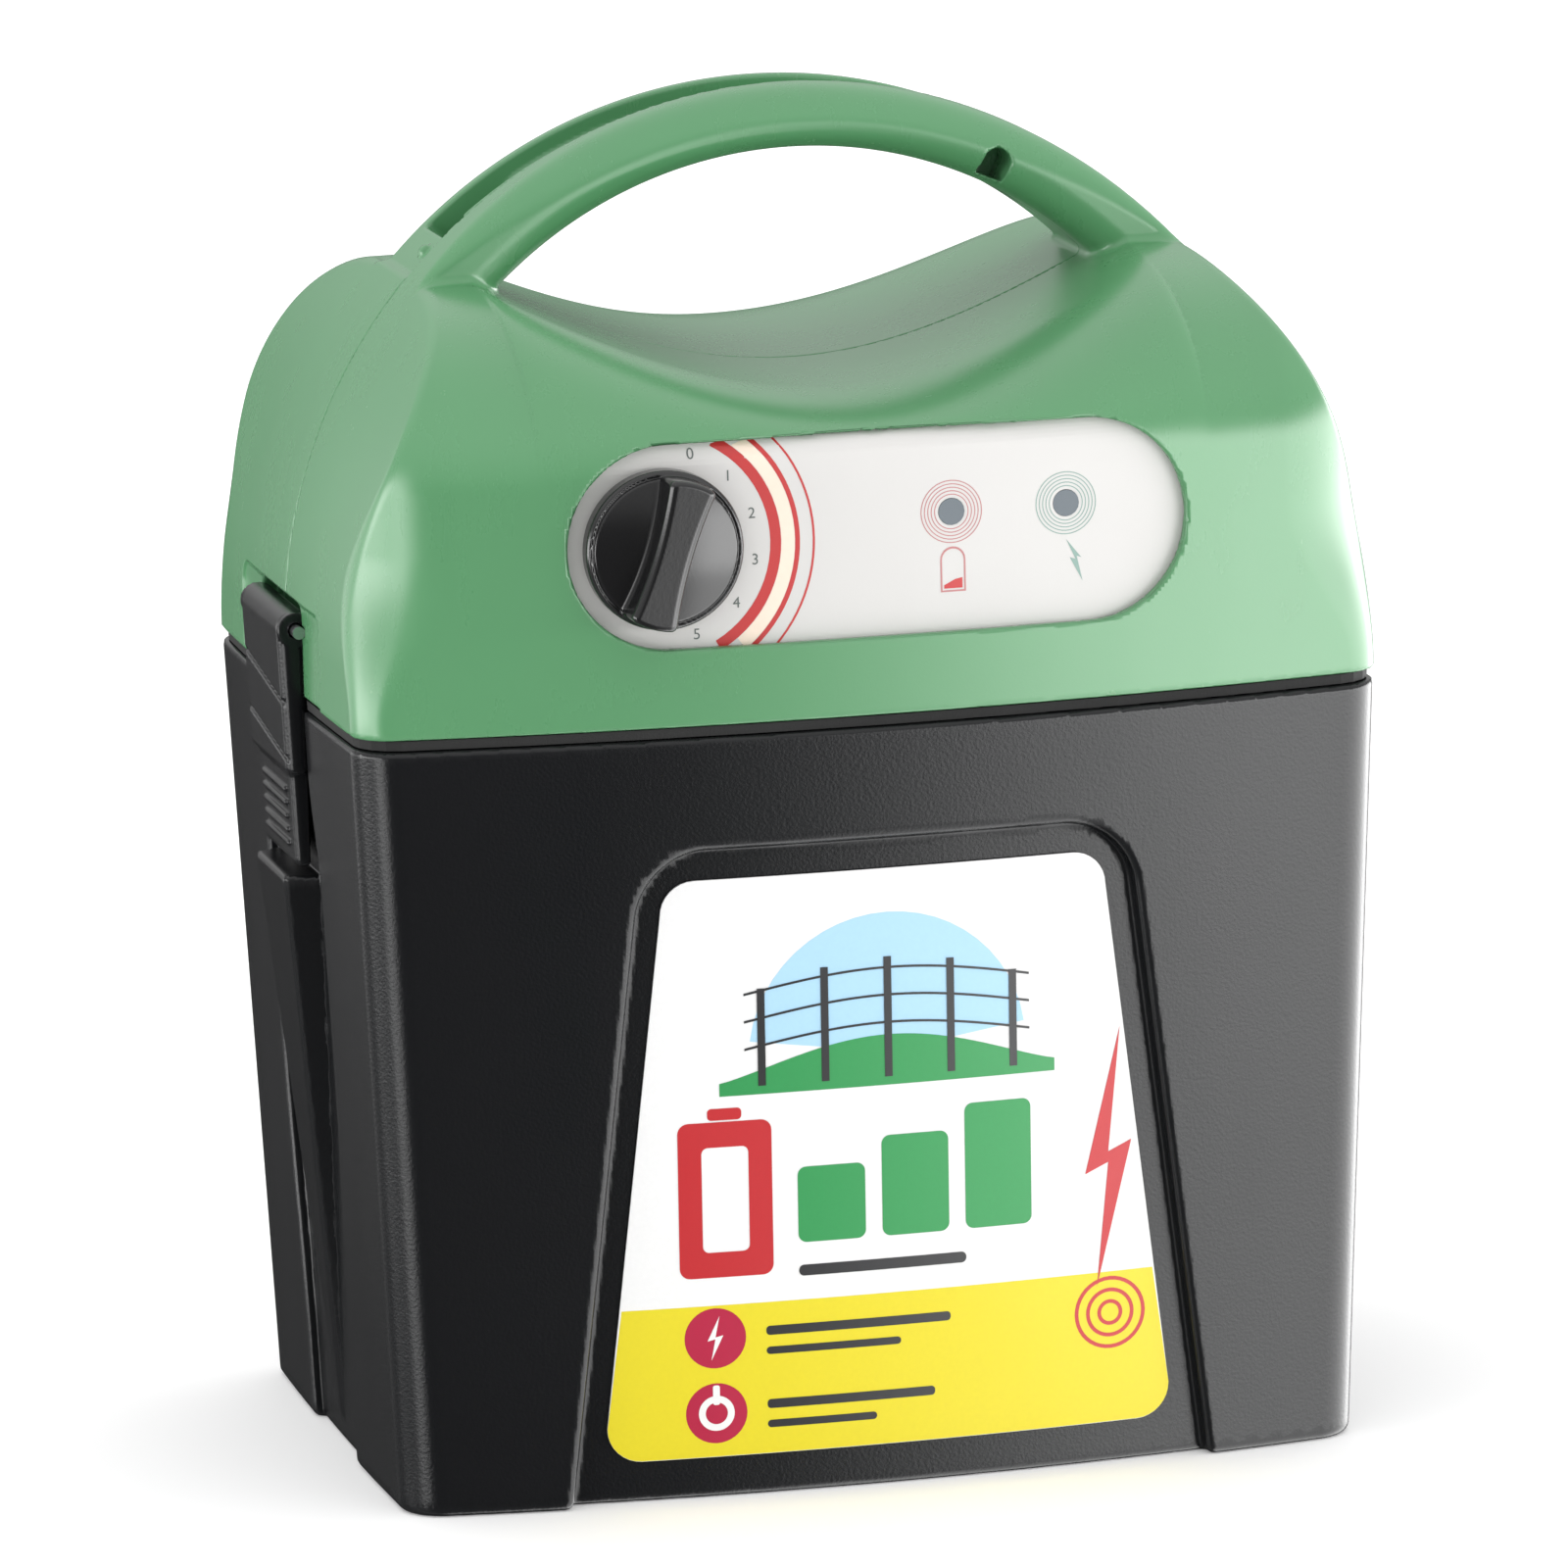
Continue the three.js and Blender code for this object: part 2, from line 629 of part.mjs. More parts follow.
function buildShells() {
  const outerArch = archPrism(0);
  const outer = headBody(0).intersect(outerArch);
  const inner = headBody(WALL).intersect(archPrism(WALL));
  const pinned = latchBlocks().intersect(outer);

  // The handle: the top of the arch, cut out below by the grip circle.
  const handleRoot = SHOULDER_TOP - HANDLE_ROOT;
  const handleZone = box(-FAR, FAR, -HANDLE_HALF, HANDLE_HALF, handleRoot, FAR);
  const grip = prismY(disc(0, GRIP_CENTRE, GRIP_RADIUS), -40, 40, 48);
  const handle = outerArch.intersect(handleZone).subtract(grip);
  const channel = prismY(
    archBand(CHANNEL_FLOOR, 135, CHANNEL_ANGLE),
    SEAM,
    CHANNEL_BACK,
    24,
  );
  const rearStep = prismY(
    archBand(ARCH_RADIUS - REAR_STEP, 135, HANDLE_ANGLE),
    SEAM,
    HANDLE_HALF + 1,
    28,
  );
  const deck = prismY(
    archBand(CHANNEL_FLOOR - 2, CHANNEL_DECK, DECK_ANGLE),
    SEAM,
    CHANNEL_BACK + 1,
    20,
  );
  const ribBand = archBand(CHANNEL_DECK - 2, CHANNEL_DECK + RIB_HEIGHT, DECK_ANGLE);
  const ribs = RIBS.map(([y0, y1]) => prismY(ribBand, y0, y1, 20));

  // The D-shaped window in the front bar.
  const windowShape = new THREE.Shape();
  const { x: windowX, z: windowZ, half, below, lean } = GRIP_WINDOW;
  windowShape.moveTo(-half, -below);
  windowShape.lineTo(half, -below);
  windowShape.lineTo(half, 0);
  windowShape.absarc(0, 0.5, half, 0, Math.PI, false);
  windowShape.closePath();
  const gripWindow = prismY(windowShape, -FAR, SEAM + 1, 6)
    .rotate([0, lean, 0])
    .translate([windowX, 0, windowZ]);

  let bosses = wasm.Manifold.union(
    SHELL_SCREWS.map(([x, z]) => rodY(x, z, BOSS_RADIUS, -100, 100, 12)),
  );
  let holes = wasm.Manifold.union(
    SHELL_SCREWS.map(([x, z]) =>
      rodY(x, z, SCREW_WELL, SHELL_SCREW_HEAD_Y, 100, 12).add(
        rodY(x, z, SCREW_HOLE, SHELL_SCREW_TIP_Y - 4, SHELL_SCREW_HEAD_Y + 1, 12),
      ),
    ),
  );
  const trayTop = TRAY_Z + TRAY_THICK + GAP;
  for (const [x, y] of TRAY_SCREWS) {
    const near = Math.abs(x) - 5;
    const boss = boxOnSide(Math.sign(x), near, FAR, y - 5, y + 5, trayTop, TRAY_BOSS_TOP);
    bosses = bosses.add(boss);
    holes = holes.add(rodZ(x, y, SCREW_HOLE, 180, TRAY_SCREW_TIP_Z + 3, 12));
  }
  const studHoles = [-STUD_X, STUD_X].map((x) =>
    rodY(x, STUD_Z, STUD_HOLE, 60, 110, 12),
  );
  const panelHole = prismY(stadium(PANEL_HALF, PANEL_RADIUS, PANEL_Z), -FAR, -50, 10);

  let whole = outer
    .subtract(inner)
    .add(pinned)
    .add(bosses.intersect(outer))
    .add(handle)
    .subtract(rearStep)
    .subtract(channel)
    .add(deck);
  for (const rib of ribs) whole = whole.add(rib);
  whole = whole
    .subtract(grip.intersect(box(-FAR, FAR, -40, 40, SHOULDER_TOP + 0.4, FAR)))
    .subtract(latchPockets())
    .subtract(holes)
    .subtract(panelHole)
    .subtract(gripWindow);
  for (const hole of studHoles) whole = whole.subtract(hole);

  const front = whole.intersect(box(-FAR, FAR, -FAR, SEAM - GAP / 2, 0, FAR));
  const rear = whole.intersect(box(-FAR, FAR, SEAM + GAP / 2, FAR, 0, FAR));
  addPart("head_front_shell", front, green);
  addPart("head_rear_shell", rear, green);
}

function buildScrews() {
  SHELL_SCREWS.forEach(([x, z], i) => {
    const y = SHELL_SCREW_HEAD_Y;
    const head = rodY(x, z, SCREW_HEAD, y + GAP, y + 3, 12);
    const shank = rodY(x, z, SCREW_SHANK, SHELL_SCREW_TIP_Y, y + 1, 10);
    addPart("shell_screw_" + (i + 1), head.add(shank), steel);
  });
  TRAY_SCREWS.forEach(([x, y], i) => {
    const head = rodZ(x, y, SCREW_HEAD, TRAY_Z - 2.4, TRAY_Z - GAP, 12);
    const shank = rodZ(x, y, SCREW_SHANK, TRAY_Z - 1, TRAY_SCREW_TIP_Z, 10);
    addPart("tray_screw_" + (i + 1), head.add(shank), steel);
  });
}

// ---------- latches ----------

// A latch drawn in (x, z): a barrel on the hinge pin and a plate whose outside leans with
// the box, while its inside is upright so that the head can be lifted straight off.
function buildLatch(name, side) {
  const plateX = (z, out) => sideX(z) - SIDE_RECESS + PLATE_PLAY + out;
  const inside = plateX(BOX_TOP, 0);
  const outline = (half, top, bottom, thickness) =>
    prismY(
      polygon([
        [inside, bottom],
        [plateX(bottom, thickness - 1.5), bottom],
        [plateX(bottom + 2, thickness), bottom + 2],
        [plateX(top, thickness), top],
        [inside, top],
      ]),
      -half,
      half,
    );
  const barrel = rodY(HINGE_X, HINGE_Z, BARREL, -LATCH_HALF, LATCH_HALF, 20);
  let body = barrel
    .add(outline(LATCH_HALF, HINGE_Z, PLATE_KNEE, PLATE_UPPER))
    .add(outline(LATCH_HALF - 3, PLATE_KNEE + 1, LATCH_BOTTOM, PLATE_LOWER));
  for (let i = 0; i < GRIP_RIBS; i++) {
    const z = LATCH_BOTTOM + 4 + i * GRIP_RIB_PITCH;
    const x = plateX(z, PLATE_LOWER - GAP);
    body = body.add(box(x, x + 1.2, -GRIP_RIB_HALF, GRIP_RIB_HALF, z, z + 1.4));
  }
  body = body.subtract(rodY(HINGE_X, HINGE_Z, PIN_RADIUS + GAP, -FAR, FAR, 12));
  addPart(name, side > 0 ? body : body.mirror([1, 0, 0]), black);
  const pin = rodY(side * HINGE_X, HINGE_Z, PIN_RADIUS, -PIN_HALF, PIN_HALF, 12);
  addPart(name.replace("latch", "latch_pin"), pin, steel);
}

// ---------- control panel ----------

// A plate that follows the bowed front between two depths behind its surface.
function frontLayer(shape, from, to) {
  const slab = headBody(from)
    .intersect(archPrism(from))
    .subtract(headBody(to).intersect(archPrism(to)));
  return slab.intersect(prismY(shape, -FAR, -50, 10));
}

function buildPanel() {
  const shape = stadium(PANEL_HALF + PANEL_LIP, PANEL_RADIUS + PANEL_LIP, PANEL_Z);
  let plate = frontLayer(shape, WALL + GAP, WALL + GAP + PLATE_THICK);
  const pillars = [
    [-68, 210],
    [68, 210],
    [-5, 244],
    [66, 240],
  ];
  for (const [x, z] of pillars) {
    const pillar = rodY(x, z, 2.8, -90, BOARD_Y - GAP, 10);
    plate = plate.add(pillar.intersect(headBody(WALL + GAP + 1)));
  }
  plate = plate.subtract(rodY(KNOB_X, PANEL_Z, 4.2, -100, -75, 16));
  for (const x of LED_X) plate = plate.subtract(rodY(x, LED_Z, 3.4, -100, -75, 16));
  addPart("control_panel", plate, white);

  pillars.slice(0, 2).forEach(([x, z], i) => {
    const back = BOARD_Y + BOARD_THICK + GAP;
    addPart("board_screw_" + (i + 1), rodY(x, z, 2.6, back, back + 2, 10), steel);
  });
}

function buildLeds() {
  const names = ["battery", "fence"];
  const colours = [redLed, greenLed];
  LED_X.forEach((x, i) => {
    const face = frontDepth(x) - WALL - GAP;
    const window = rodY(x, LED_Z, 3.1, -face - 0.2, -face + 1.6, 16);
    addPart("led_window_" + names[i], window, lens);
    const lamp = rodY(x, LED_Z, 2.5, -face + 4.5, BOARD_Y - GAP, 12);
    addPart("led_" + names[i], lamp, colours[i]);
  });
}

function buildKnob() {
  const face = -(frontDepth(KNOB_X) - WALL - GAP);
  const skirt = rodY(KNOB_X, PANEL_Z, KNOB_RADIUS, face - 7, face - 1.2, 36);
  const dome = rodY(KNOB_X, PANEL_Z, KNOB_RADIUS - 2, face - 9, face - 6.9, 36);
  const bar = box(-5.4, 5.4, face - 15, face - 6, -KNOB_RADIUS + 1.5, KNOB_RADIUS - 1.5)
    .rotate([0, 20, 0])
    .translate([KNOB_X, 0, PANEL_Z]);
  const hub = rodY(KNOB_X, PANEL_Z, 3.6, face - 2, BOARD_Y - 7.5, 14);
  const socket = rodY(KNOB_X, PANEL_Z, 2.3, face - 4, BOARD_Y, 12);
  addPart("knob", skirt.add(dome).add(bar).add(hub).subtract(socket), gloss);
  addPart("knob_shaft", rodY(KNOB_X, PANEL_Z, 2, face - 3.5, BOARD_Y - 6.4, 12), steel);
  const switchBody = box(
    KNOB_X - 9,
    KNOB_X + 9,
    BOARD_Y - 6,
    BOARD_Y - GAP,
    PANEL_Z - 9,
    PANEL_Z + 9,
  );
  addPart("rotary_switch", switchBody, black);
}

// ---------- electronics ----------

function buildElectronics() {
  const boardPlate = box(-80, 80, BOARD_Y, BOARD_Y + BOARD_THICK, 197, 246);
  addPart("circuit_board", boardPlate, board);

  const trayOuter = casing(3.8, TRAY_Z, TRAY_Z + TRAY_THICK);
  const near = HINGE_X - BLOCK_DEPTH - BLOCK_PLAY;
  const half = BLOCK_HALF + BLOCK_PLAY;
  let tray = trayOuter
    .subtract(boxOnSide(-1, near, FAR, -half, half, 0, FAR))
    .subtract(boxOnSide(1, near, FAR, -half, half, 0, FAR));
  for (const [x, y] of TRAY_SCREWS) tray = tray.subtract(rodZ(x, y, SCREW_HOLE, 0, FAR, 10));
  const leadHole = LEAD_RADIUS + 0.7;
  for (const side of [-1, 1])
    tray = tray.subtract(rodZ(side * LEAD_ROUTE[0][0], 0, leadHole, 0, FAR, 12));
  addPart("base_tray", tray, black);

  const floor = TRAY_Z + TRAY_THICK + GAP;
  const core = { x: 30, y: 18, half: 25, top: floor + 42 };
  const middle = (floor + core.top) / 2;
  let laminations = box(
    core.x - core.half,
    core.x + core.half,
    core.y - 11,
    core.y + 11,
    floor,
    core.top,
  );
  for (const side of [-1, 1]) {
    const window = boxOnSide(side, 7, 17, core.y - 20, core.y + 20, middle - 14, middle + 14);
    laminations = laminations.subtract(window.translate([core.x, 0, 0]));
  }
  addPart("transformer_core", laminations, steel);
  const winding = box(
    core.x - 16.5,
    core.x + 16.5,
    core.y - 21,
    core.y + 21,
    middle - 13.5,
    middle + 13.5,
  ).subtract(
    box(
      core.x - 7.4,
      core.x + 7.4,
      core.y - 11.4,
      core.y + 11.4,
      middle - 20,
      middle + 20,
    ),
  );
  addPart("transformer_winding", winding, copper);

  const can = new THREE.CylinderGeometry(17, 17, 58, 28).rotateZ(Math.PI / 2);
  addPart("storage_capacitor", solid(can.translate(-48, 22, floor + 17.3)), white);
}

// Battery leads: each leaves the tray and ends in a cap that sits on its terminal.
function buildLeads() {
  const topOfBattery = BATTERY.bottom + BATTERY.z;
  const capBottom = topOfBattery + 3;
  for (const [name, side, material] of [
    ["plus", 1, redPlastic],
    ["minus", -1, rubber],
  ]) {
    const x = side * TERMINAL_X;
    const cap = rodZ(x, 0, 6.5, capBottom, capBottom + 11, 18)
      .subtract(rodZ(x, 0, 3.4, capBottom - 1, capBottom + 6, 14))
      .subtract(rodZ(x, 0, 8.5, capBottom - 2, capBottom - 0.5, 14));
    addPart("battery_cap_" + name, cap, material);
    const route = new THREE.CatmullRomCurve3(
      LEAD_ROUTE.map(([u, v, w]) => new THREE.Vector3(side * u, v, w)),
    );
    const circle = disc(0, 0, LEAD_RADIUS);
    const cable = new THREE.ExtrudeGeometry(circle, {
      steps: 30,
      extrudePath: route,
      curveSegments: 4,
      bevelEnabled: false,
    });
    addPart("battery_lead_" + name, solid(cable), material);
  }
}

// The two output terminals at the back: stud, washer and screw knob.
function buildTerminals() {
  const surface = frontDepth(STUD_X);
  for (const [name, side, material] of [
    ["fence", -1, redPlastic],
    ["earth", 1, black],
  ]) {
    const x = side * STUD_X;
    const stud = rodY(x, STUD_Z, STUD_RADIUS, surface - 14, surface + 11, 14);
    const nut = rodY(x, STUD_Z, 6, surface - 10, surface - WALL - 1.2, 6);
    addPart(name + "_stud", stud.add(nut), steel);
    const washer = rodY(x, STUD_Z, 8, surface + 0.6, surface + 1.8, 20).subtract(
      rodY(x, STUD_Z, STUD_HOLE, surface - 1, surface + 3, 14),
    );
    addPart(name + "_washer", washer, steel);
    let grip = rodY(x, STUD_Z, 7, surface + 2.2, surface + 9, 20);
    for (let i = 0; i < KNOB_LOBES; i++) {
      const angle = (i * 2 * Math.PI) / KNOB_LOBES;
      const lobe = [x + 7 * Math.cos(angle), STUD_Z + 7 * Math.sin(angle)];
      grip = grip.add(rodY(lobe[0], lobe[1], 1.8, surface + 2.2, surface + 9, 8));
    }
    grip = grip.subtract(rodY(x, STUD_Z, STUD_HOLE, surface, surface + 20, 14));
    addPart(name + "_terminal_knob", grip, material);
  }
}

buildBox();
buildLabel();
buildSeal();
buildBattery();
buildShells();
buildScrews();
buildLatch("latch_left", -1);
buildLatch("latch_right", 1);
buildPanel();
buildLeds();
buildKnob();
buildElectronics();
buildLeads();
buildTerminals();

export default group;
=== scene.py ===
"""Looks of a battery fence energizer: green carrying head on a black battery box.

Lengths are in millimetres and become metres when a mesh is made. +X is to the right, the panel faces
-Y and Z is up, as in the CAD model that the script loads as its frame.
Moulded pieces are drawn as distance fields: a function that is negative inside the piece. The fields
are joined and cut with round edges and then turned into smooth meshes.
"""
import json
import math

import bmesh
import bpy
import numpy as np
from mathutils import Matrix, Vector


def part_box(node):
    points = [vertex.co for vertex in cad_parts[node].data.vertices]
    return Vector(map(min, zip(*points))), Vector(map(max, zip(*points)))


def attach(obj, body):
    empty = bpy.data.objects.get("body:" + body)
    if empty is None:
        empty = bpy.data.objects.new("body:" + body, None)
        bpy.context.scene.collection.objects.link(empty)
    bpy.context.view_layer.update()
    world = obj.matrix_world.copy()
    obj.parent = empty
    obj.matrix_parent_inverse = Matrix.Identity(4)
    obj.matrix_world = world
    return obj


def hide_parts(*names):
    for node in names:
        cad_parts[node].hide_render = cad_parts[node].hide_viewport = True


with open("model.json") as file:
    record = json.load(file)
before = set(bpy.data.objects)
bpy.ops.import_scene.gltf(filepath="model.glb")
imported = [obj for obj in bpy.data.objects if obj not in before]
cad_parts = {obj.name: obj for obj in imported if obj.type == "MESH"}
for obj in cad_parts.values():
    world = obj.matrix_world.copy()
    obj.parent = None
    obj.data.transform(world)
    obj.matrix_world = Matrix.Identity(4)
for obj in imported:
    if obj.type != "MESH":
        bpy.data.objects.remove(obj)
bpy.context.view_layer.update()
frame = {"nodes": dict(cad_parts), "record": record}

MM = 0.001

# ---------- camera, at the photograph's viewing angle ----------

CAMERA_TARGET = Vector((-0.0019, 0, 0.1509))
CAMERA_DISTANCE = 2.63
CAMERA_YAW = math.radians(13.99)
CAMERA_PITCH = math.radians(11.25)
CAMERA_ROLL = math.radians(-1.42)
CAMERA_LENS = 254.7


def add_camera():
    look = Vector((
        math.sin(CAMERA_YAW) * math.cos(CAMERA_PITCH),
        math.cos(CAMERA_YAW) * math.cos(CAMERA_PITCH),
        -math.sin(CAMERA_PITCH),
    ))
    level = Vector((math.cos(CAMERA_YAW), -math.sin(CAMERA_YAW), 0))
    upright = level.cross(look)
    right = math.cos(CAMERA_ROLL) * level + math.sin(CAMERA_ROLL) * upright
    up = -math.sin(CAMERA_ROLL) * level + math.cos(CAMERA_ROLL) * upright
    data = bpy.data.cameras.new("camera")
    data.lens = CAMERA_LENS
    data.clip_end = 100
    camera = bpy.data.objects.new("camera", data)
    place = Matrix((right, up, -look)).transposed().to_4x4()
    place.translation = CAMERA_TARGET - look * CAMERA_DISTANCE
    camera.matrix_world = place
    bpy.context.scene.collection.objects.link(camera)
    bpy.context.scene.camera = camera


# ---------- sizes, the same as the CAD model's ----------

WALL = 3
FAR = 200  # reaches past everything sideways
TOP_HALF_X, TOP_HALF_Y = 121.4, 81.3
BASE_HALF_X, BASE_HALF_Y = 114.5, 75.8
BOW_FRONT, BOW_SIDE = 10.8, 1.2
BOX_TOP, RIM_TOP, HEAD_BOTTOM = 181.4, 190, 184.2

# Head: shoulders, saddle, and the arch that the handle and the sides share.
SHOULDER_START, SHOULDER_RISE, SHOULDER_TOP = 240, 5, 278.6
SADDLE_DIP, SADDLE_HALF, SADDLE_FLAT = 24, 79, 52
ARCH_RADIUS, ARCH_CENTRE = 122.7, 197
CORNER_RADIUS_LOW, CORNER_RADIUS_GROWTH = 8, 16
CORNER_GROWS_FROM, CORNER_GROWS_TO = 186, 226
RELIEF_HALF, RELIEF_TOP, RELIEF_DEPTH = 43, 206, 0.8
SEAM, SEAM_GAP = -8, 0.04

# Handle, and the channel along its top.
HANDLE_HALF, HANDLE_ANGLE, HANDLE_FOOT, HANDLE_FILLET = 22, 48, 262, 2.5
GRIP_RADIUS, GRIP_CENTRE, GRIP_EDGE = 102.7, 202.3, 8.5
REAR_STEP = 1.5
ARCH_EDGE, REAR_EDGE, FRONT_EDGE = 1.5, 1.0, 11
ARCH_EDGE_FROM, ARCH_EDGE_TO = 198, 225
CHANNEL_BACK, CHANNEL_ANGLE = 17, 42
CHANNEL_FLOOR, CHANNEL_DECK = 111.5, 116.5
DECK_SLOPE_FROM, DECK_SLOPE_TO = 30, 38
RIB_PLACES, RIB_HALF, RIB_RISE, RIB_ANGLE = (-2.5, 7), 1, 2.6, 39
STUB_X, STUB_Z, STUB_RADIUS = 84.6, 283.2, 1.9
SLOT_X, SLOT_Z, SLOT_LEAN, SLOT_RADIUS = 47.7, 299, math.radians(22), 3.3

# Screws of the head, the tray's bosses and the latches' pockets.
SHELL_SCREWS = ((96, 208), (82, 256))
SHELL_SCREW_HEAD_Y = 12
BOSS_RADIUS, HEAD_BORE_RADIUS, PILOT_RADIUS, PILOT_REACH = 5.4, 3.8, 2, 30
TRAY_SCREW_X, TRAY_SCREW_Y, TRAY_PILOT_TOP = 110, 46, 210
TRAY_BOSS_LOW, TRAY_BOSS_HIGH = (105, 41, 194.3), (122, 51, 214)
LATCH_BLOCK_DEPTH, LATCH_BLOCK_HALF, LATCH_BLOCK_TOP = 12, 27, 211
POCKET_GAP, POCKET_TOP, POCKET_STEP = 0.5, 206, 193
POCKET_DEEP, POCKET_SHALLOW = 5, 3.2
PIN_BORE_RADIUS, PIN_BORE_HALF = 1.8, 26

# Control panel, dial knob and terminals.
PANEL_Z, PANEL_HALF, PANEL_RADIUS = 225.7, 73, 23.5
PANEL_INSET, PANEL_THICK, OPENING_BACK = 3.3, 1.8, -50
KNOB_X, KNOB_RADIUS = -51.3, 18.4
KNOB_RIM, KNOB_CROWN, KNOB_FACE_RADIUS = 6.4, 1.9, 17
BAR_HEIGHT, BAR_LEAN, BAR_HALF = 15, math.radians(18), 4.3
SHAFT_HOLE_RADIUS = 4.2
LED_X, LED_Z, LED_HOLE_RADIUS = (17, 44.5), 229.6, 3.15
DIAL_BANDS_RED, DIAL_BAND_CREAM = ((25.6, 28.1), (31.4, 32.5), (35.5, 36.0)), (28.2, 31.3)
DIGIT_ANGLES, DIGIT_RING_X, DIGIT_RING_Z, DIGIT_SIZE = (70, 44, 17, -11, -39, -69), 22.4, 22.2, 3.6
LAMP_RINGS, LAMP_RING_START, LAMP_RING_STEP, LAMP_RING_LINE = 5, 3.9, 0.8, 0.22
STUD_X, STUD_Z, STUD_HOLE_RADIUS, STUD_HOLE_FRONT = 38, 214, 3.4, 60
TERMINAL_RADIUS, TERMINAL_LOBE, TERMINAL_LOBES, TERMINAL_DEPTH = 7.7, 0.95, 8, 9

# Box: recess for the label, tongue round the rim, and the sides with their latch pads.
BOX_CORNER = 9
RECESS_DEPTH, RECESS_CORNER, RECESS_BACK = 5, 15, -20
RECESS_HALF_BOTTOM, RECESS_HALF_TOP, RECESS_TOP = 76.3, 57.5, 155
LABEL_HALF_BOTTOM, LABEL_HALF_TOP = 67.5, 53
LABEL_BOTTOM, LABEL_TOP, LABEL_THICK, LABEL_CORNER, FIELD_TOP = 10, 147.3, 0.8, 8, 46.3
ROUNDEL_X, ROUNDEL_Z, ROUNDEL_RADIUS = -42, (38.5, 20.5), 7.2
TONGUE_OUT, TONGUE_IN, TONGUE_BOTTOM, NOTCH_HALF = 3.6, 6, 171, 27.6
SIDE_RECESS, SIDE_HALF, SIDE_SPREAD = 2.5, 24, 5.5
SPREAD_ABOVE, SPREAD_BELOW = (165, 140), (20, 100)
PAD_BOTTOM, PAD_TOP, PAD_RISE_TOP, PAD_RISE_BOTTOM = 6, 141, 3.8, -1.9
PAD_HALF, PAD_HALF_GROWTH, PAD_FOOT, PAD_FOOT_GROWTH = 1, 15, 2, 17.5

# Latches.
HINGE_X, HINGE_Z, BARREL_RADIUS = 123, 200, 4.2
LATCH_HALF, LATCH_BOTTOM, LATCH_KNEE, LATCH_GAP = 22, 143.5, 166, 0.45
LATCH_THICK, LATCH_THIN = 6, 4.8
GRIP_RIBS, GRIP_RIB_PITCH, GRIP_RIB_HALF = 5, 3.2, 13
CREASES, CREASE_LEAN = (186, 172.5), 0.14

# Leads between the tray and the battery's clips, and the battery's lid.
LEAD_RADIUS = 1.9
LEAD_ROUTE = (
    (20, 0, 195.6), (20, 0, 188), (22, 6, 180), (28, 18, 174), (40, 26, 171.5), (54, 25, 171),
    (68, 20.5, 171.5), (76.5, 17, 172), (79.5, 10, 173), (76.5, 3, 173.8), (69, 0, 174),
)
LID_HEIGHT = 14

# ---------- fineness of the meshes ----------

CELL_HEAD = 0.85
CELL_BOX = (0.9, 0.9, 2.0)
CELL_LATCH = 0.55
CELL_KNOB = 0.4
SHEET_STEPS = (4, 2)
INK_LIFT, INK_THICK = 0.06, 0.05
LIFT_LOW, LIFT_MIDDLE, LIFT_HIGH = 0.12, 0.18, 0.24

# ---------- surroundings ----------

# Glows near the horizon: azimuth in degrees from the front, half width, soft edge, strength.
GLOW_RIGHT = (77, 46, 24, 8.5)
GLOW_STRIP = (-58, 8, 8, 8.0)
GLOW_CORNER = (-84, 24, 12, 7.0)
GLOW_SIDE = (-118, 40, 5, 1.6)
LOW_BASE = 0.05
SKY_EDGE, SKY_TOP = 0.55, 1.25
# Heights of a direction, from -1 below to 1 above, between which glows and sky change.
RIGHT_RISE, LEFT_RISE = (-0.33, -0.26), (-0.25, -0.18)
STRIP_RISE, STRIP_FALL = (-0.34, -0.30), (-0.24, -0.20)
LOW_FALL, SKY_START, SKY_RISE = (0.0, 0.24), (-0.04, 0.16), (0.0, 0.75)
FLOOR_SIZE, FLOOR_GLOW = 30, 0.18

# ---------- distance fields ----------


def both(a, b, radius):
    """What two fields share, with a round edge where they meet."""
    edge = np.hypot(np.maximum(a + radius, 0), np.maximum(b + radius, 0))
    return np.minimum(np.maximum(a, b), -radius) + edge


def either(a, b, radius):
    """Two fields joined, with a rounded inner corner."""
    return -both(-a, -b, radius)


def cut(a, b, radius):
    """The first field without the second."""
    return both(a, -b, radius)


def smooth(value, start, end):
    """A share that rises from 0 at start to 1 at end."""
    t = np.clip((value - start) / (end - start), 0, 1)
    return t * t * (3 - 2 * t)


def block(x, y, z, low, high):
    """A box between two corners."""
    parts = [
        np.abs(p - (a + b) / 2) - (b - a) / 2 for p, a, b in zip((x, y, z), low, high)
    ]
    return np.maximum(np.maximum(parts[0], parts[1]), parts[2])


def rod(x, z, centre_x, centre_z, radius):
    """An endless cylinder along Y."""
    return np.hypot(x - centre_x, z - centre_z) - radius


def front_depth(x, inset=0.0):
    """How far the head's front lies from the middle plane."""
    return TOP_HALF_Y - inset + BOW_FRONT * (1 - np.minimum(np.abs(x) / TOP_HALF_X, 1) ** 2)


# ---------- from a field to a mesh ----------


def slopes(field, points, step):
    """How fast the field rises along X, Y and Z at each point."""
    found = np.empty_like(points)
    for axis in range(3):
        shift = np.zeros(3)
        shift[axis] = step
        ahead, behind = field(*(points + shift).T), field(*(points - shift).T)
        found[:, axis] = (ahead - behind) / (2 * step)
    return found


def sample(field, low, high, cell):
    """The field on a grid of cells. Blocks far from the surface keep their centre's value."""
    side = 5
    safe_share = 0.85
    blocks = np.ceil((np.array(high, float) - low) / (cell * side)).astype(int)
    centres = low + (np.indices(blocks).reshape(3, -1).T * side + (side - 1) / 2) * cell
    rough = field(*centres.T).reshape(blocks)

    def spread(values):
        for axis in range(3):
            values = np.repeat(values, side, axis)
        return values

    grid = spread(rough)
    near = spread(np.abs(rough) < safe_share * side * np.linalg.norm(cell))
    grid[near] = field(*(low + np.argwhere(near) * cell).T)
    return grid


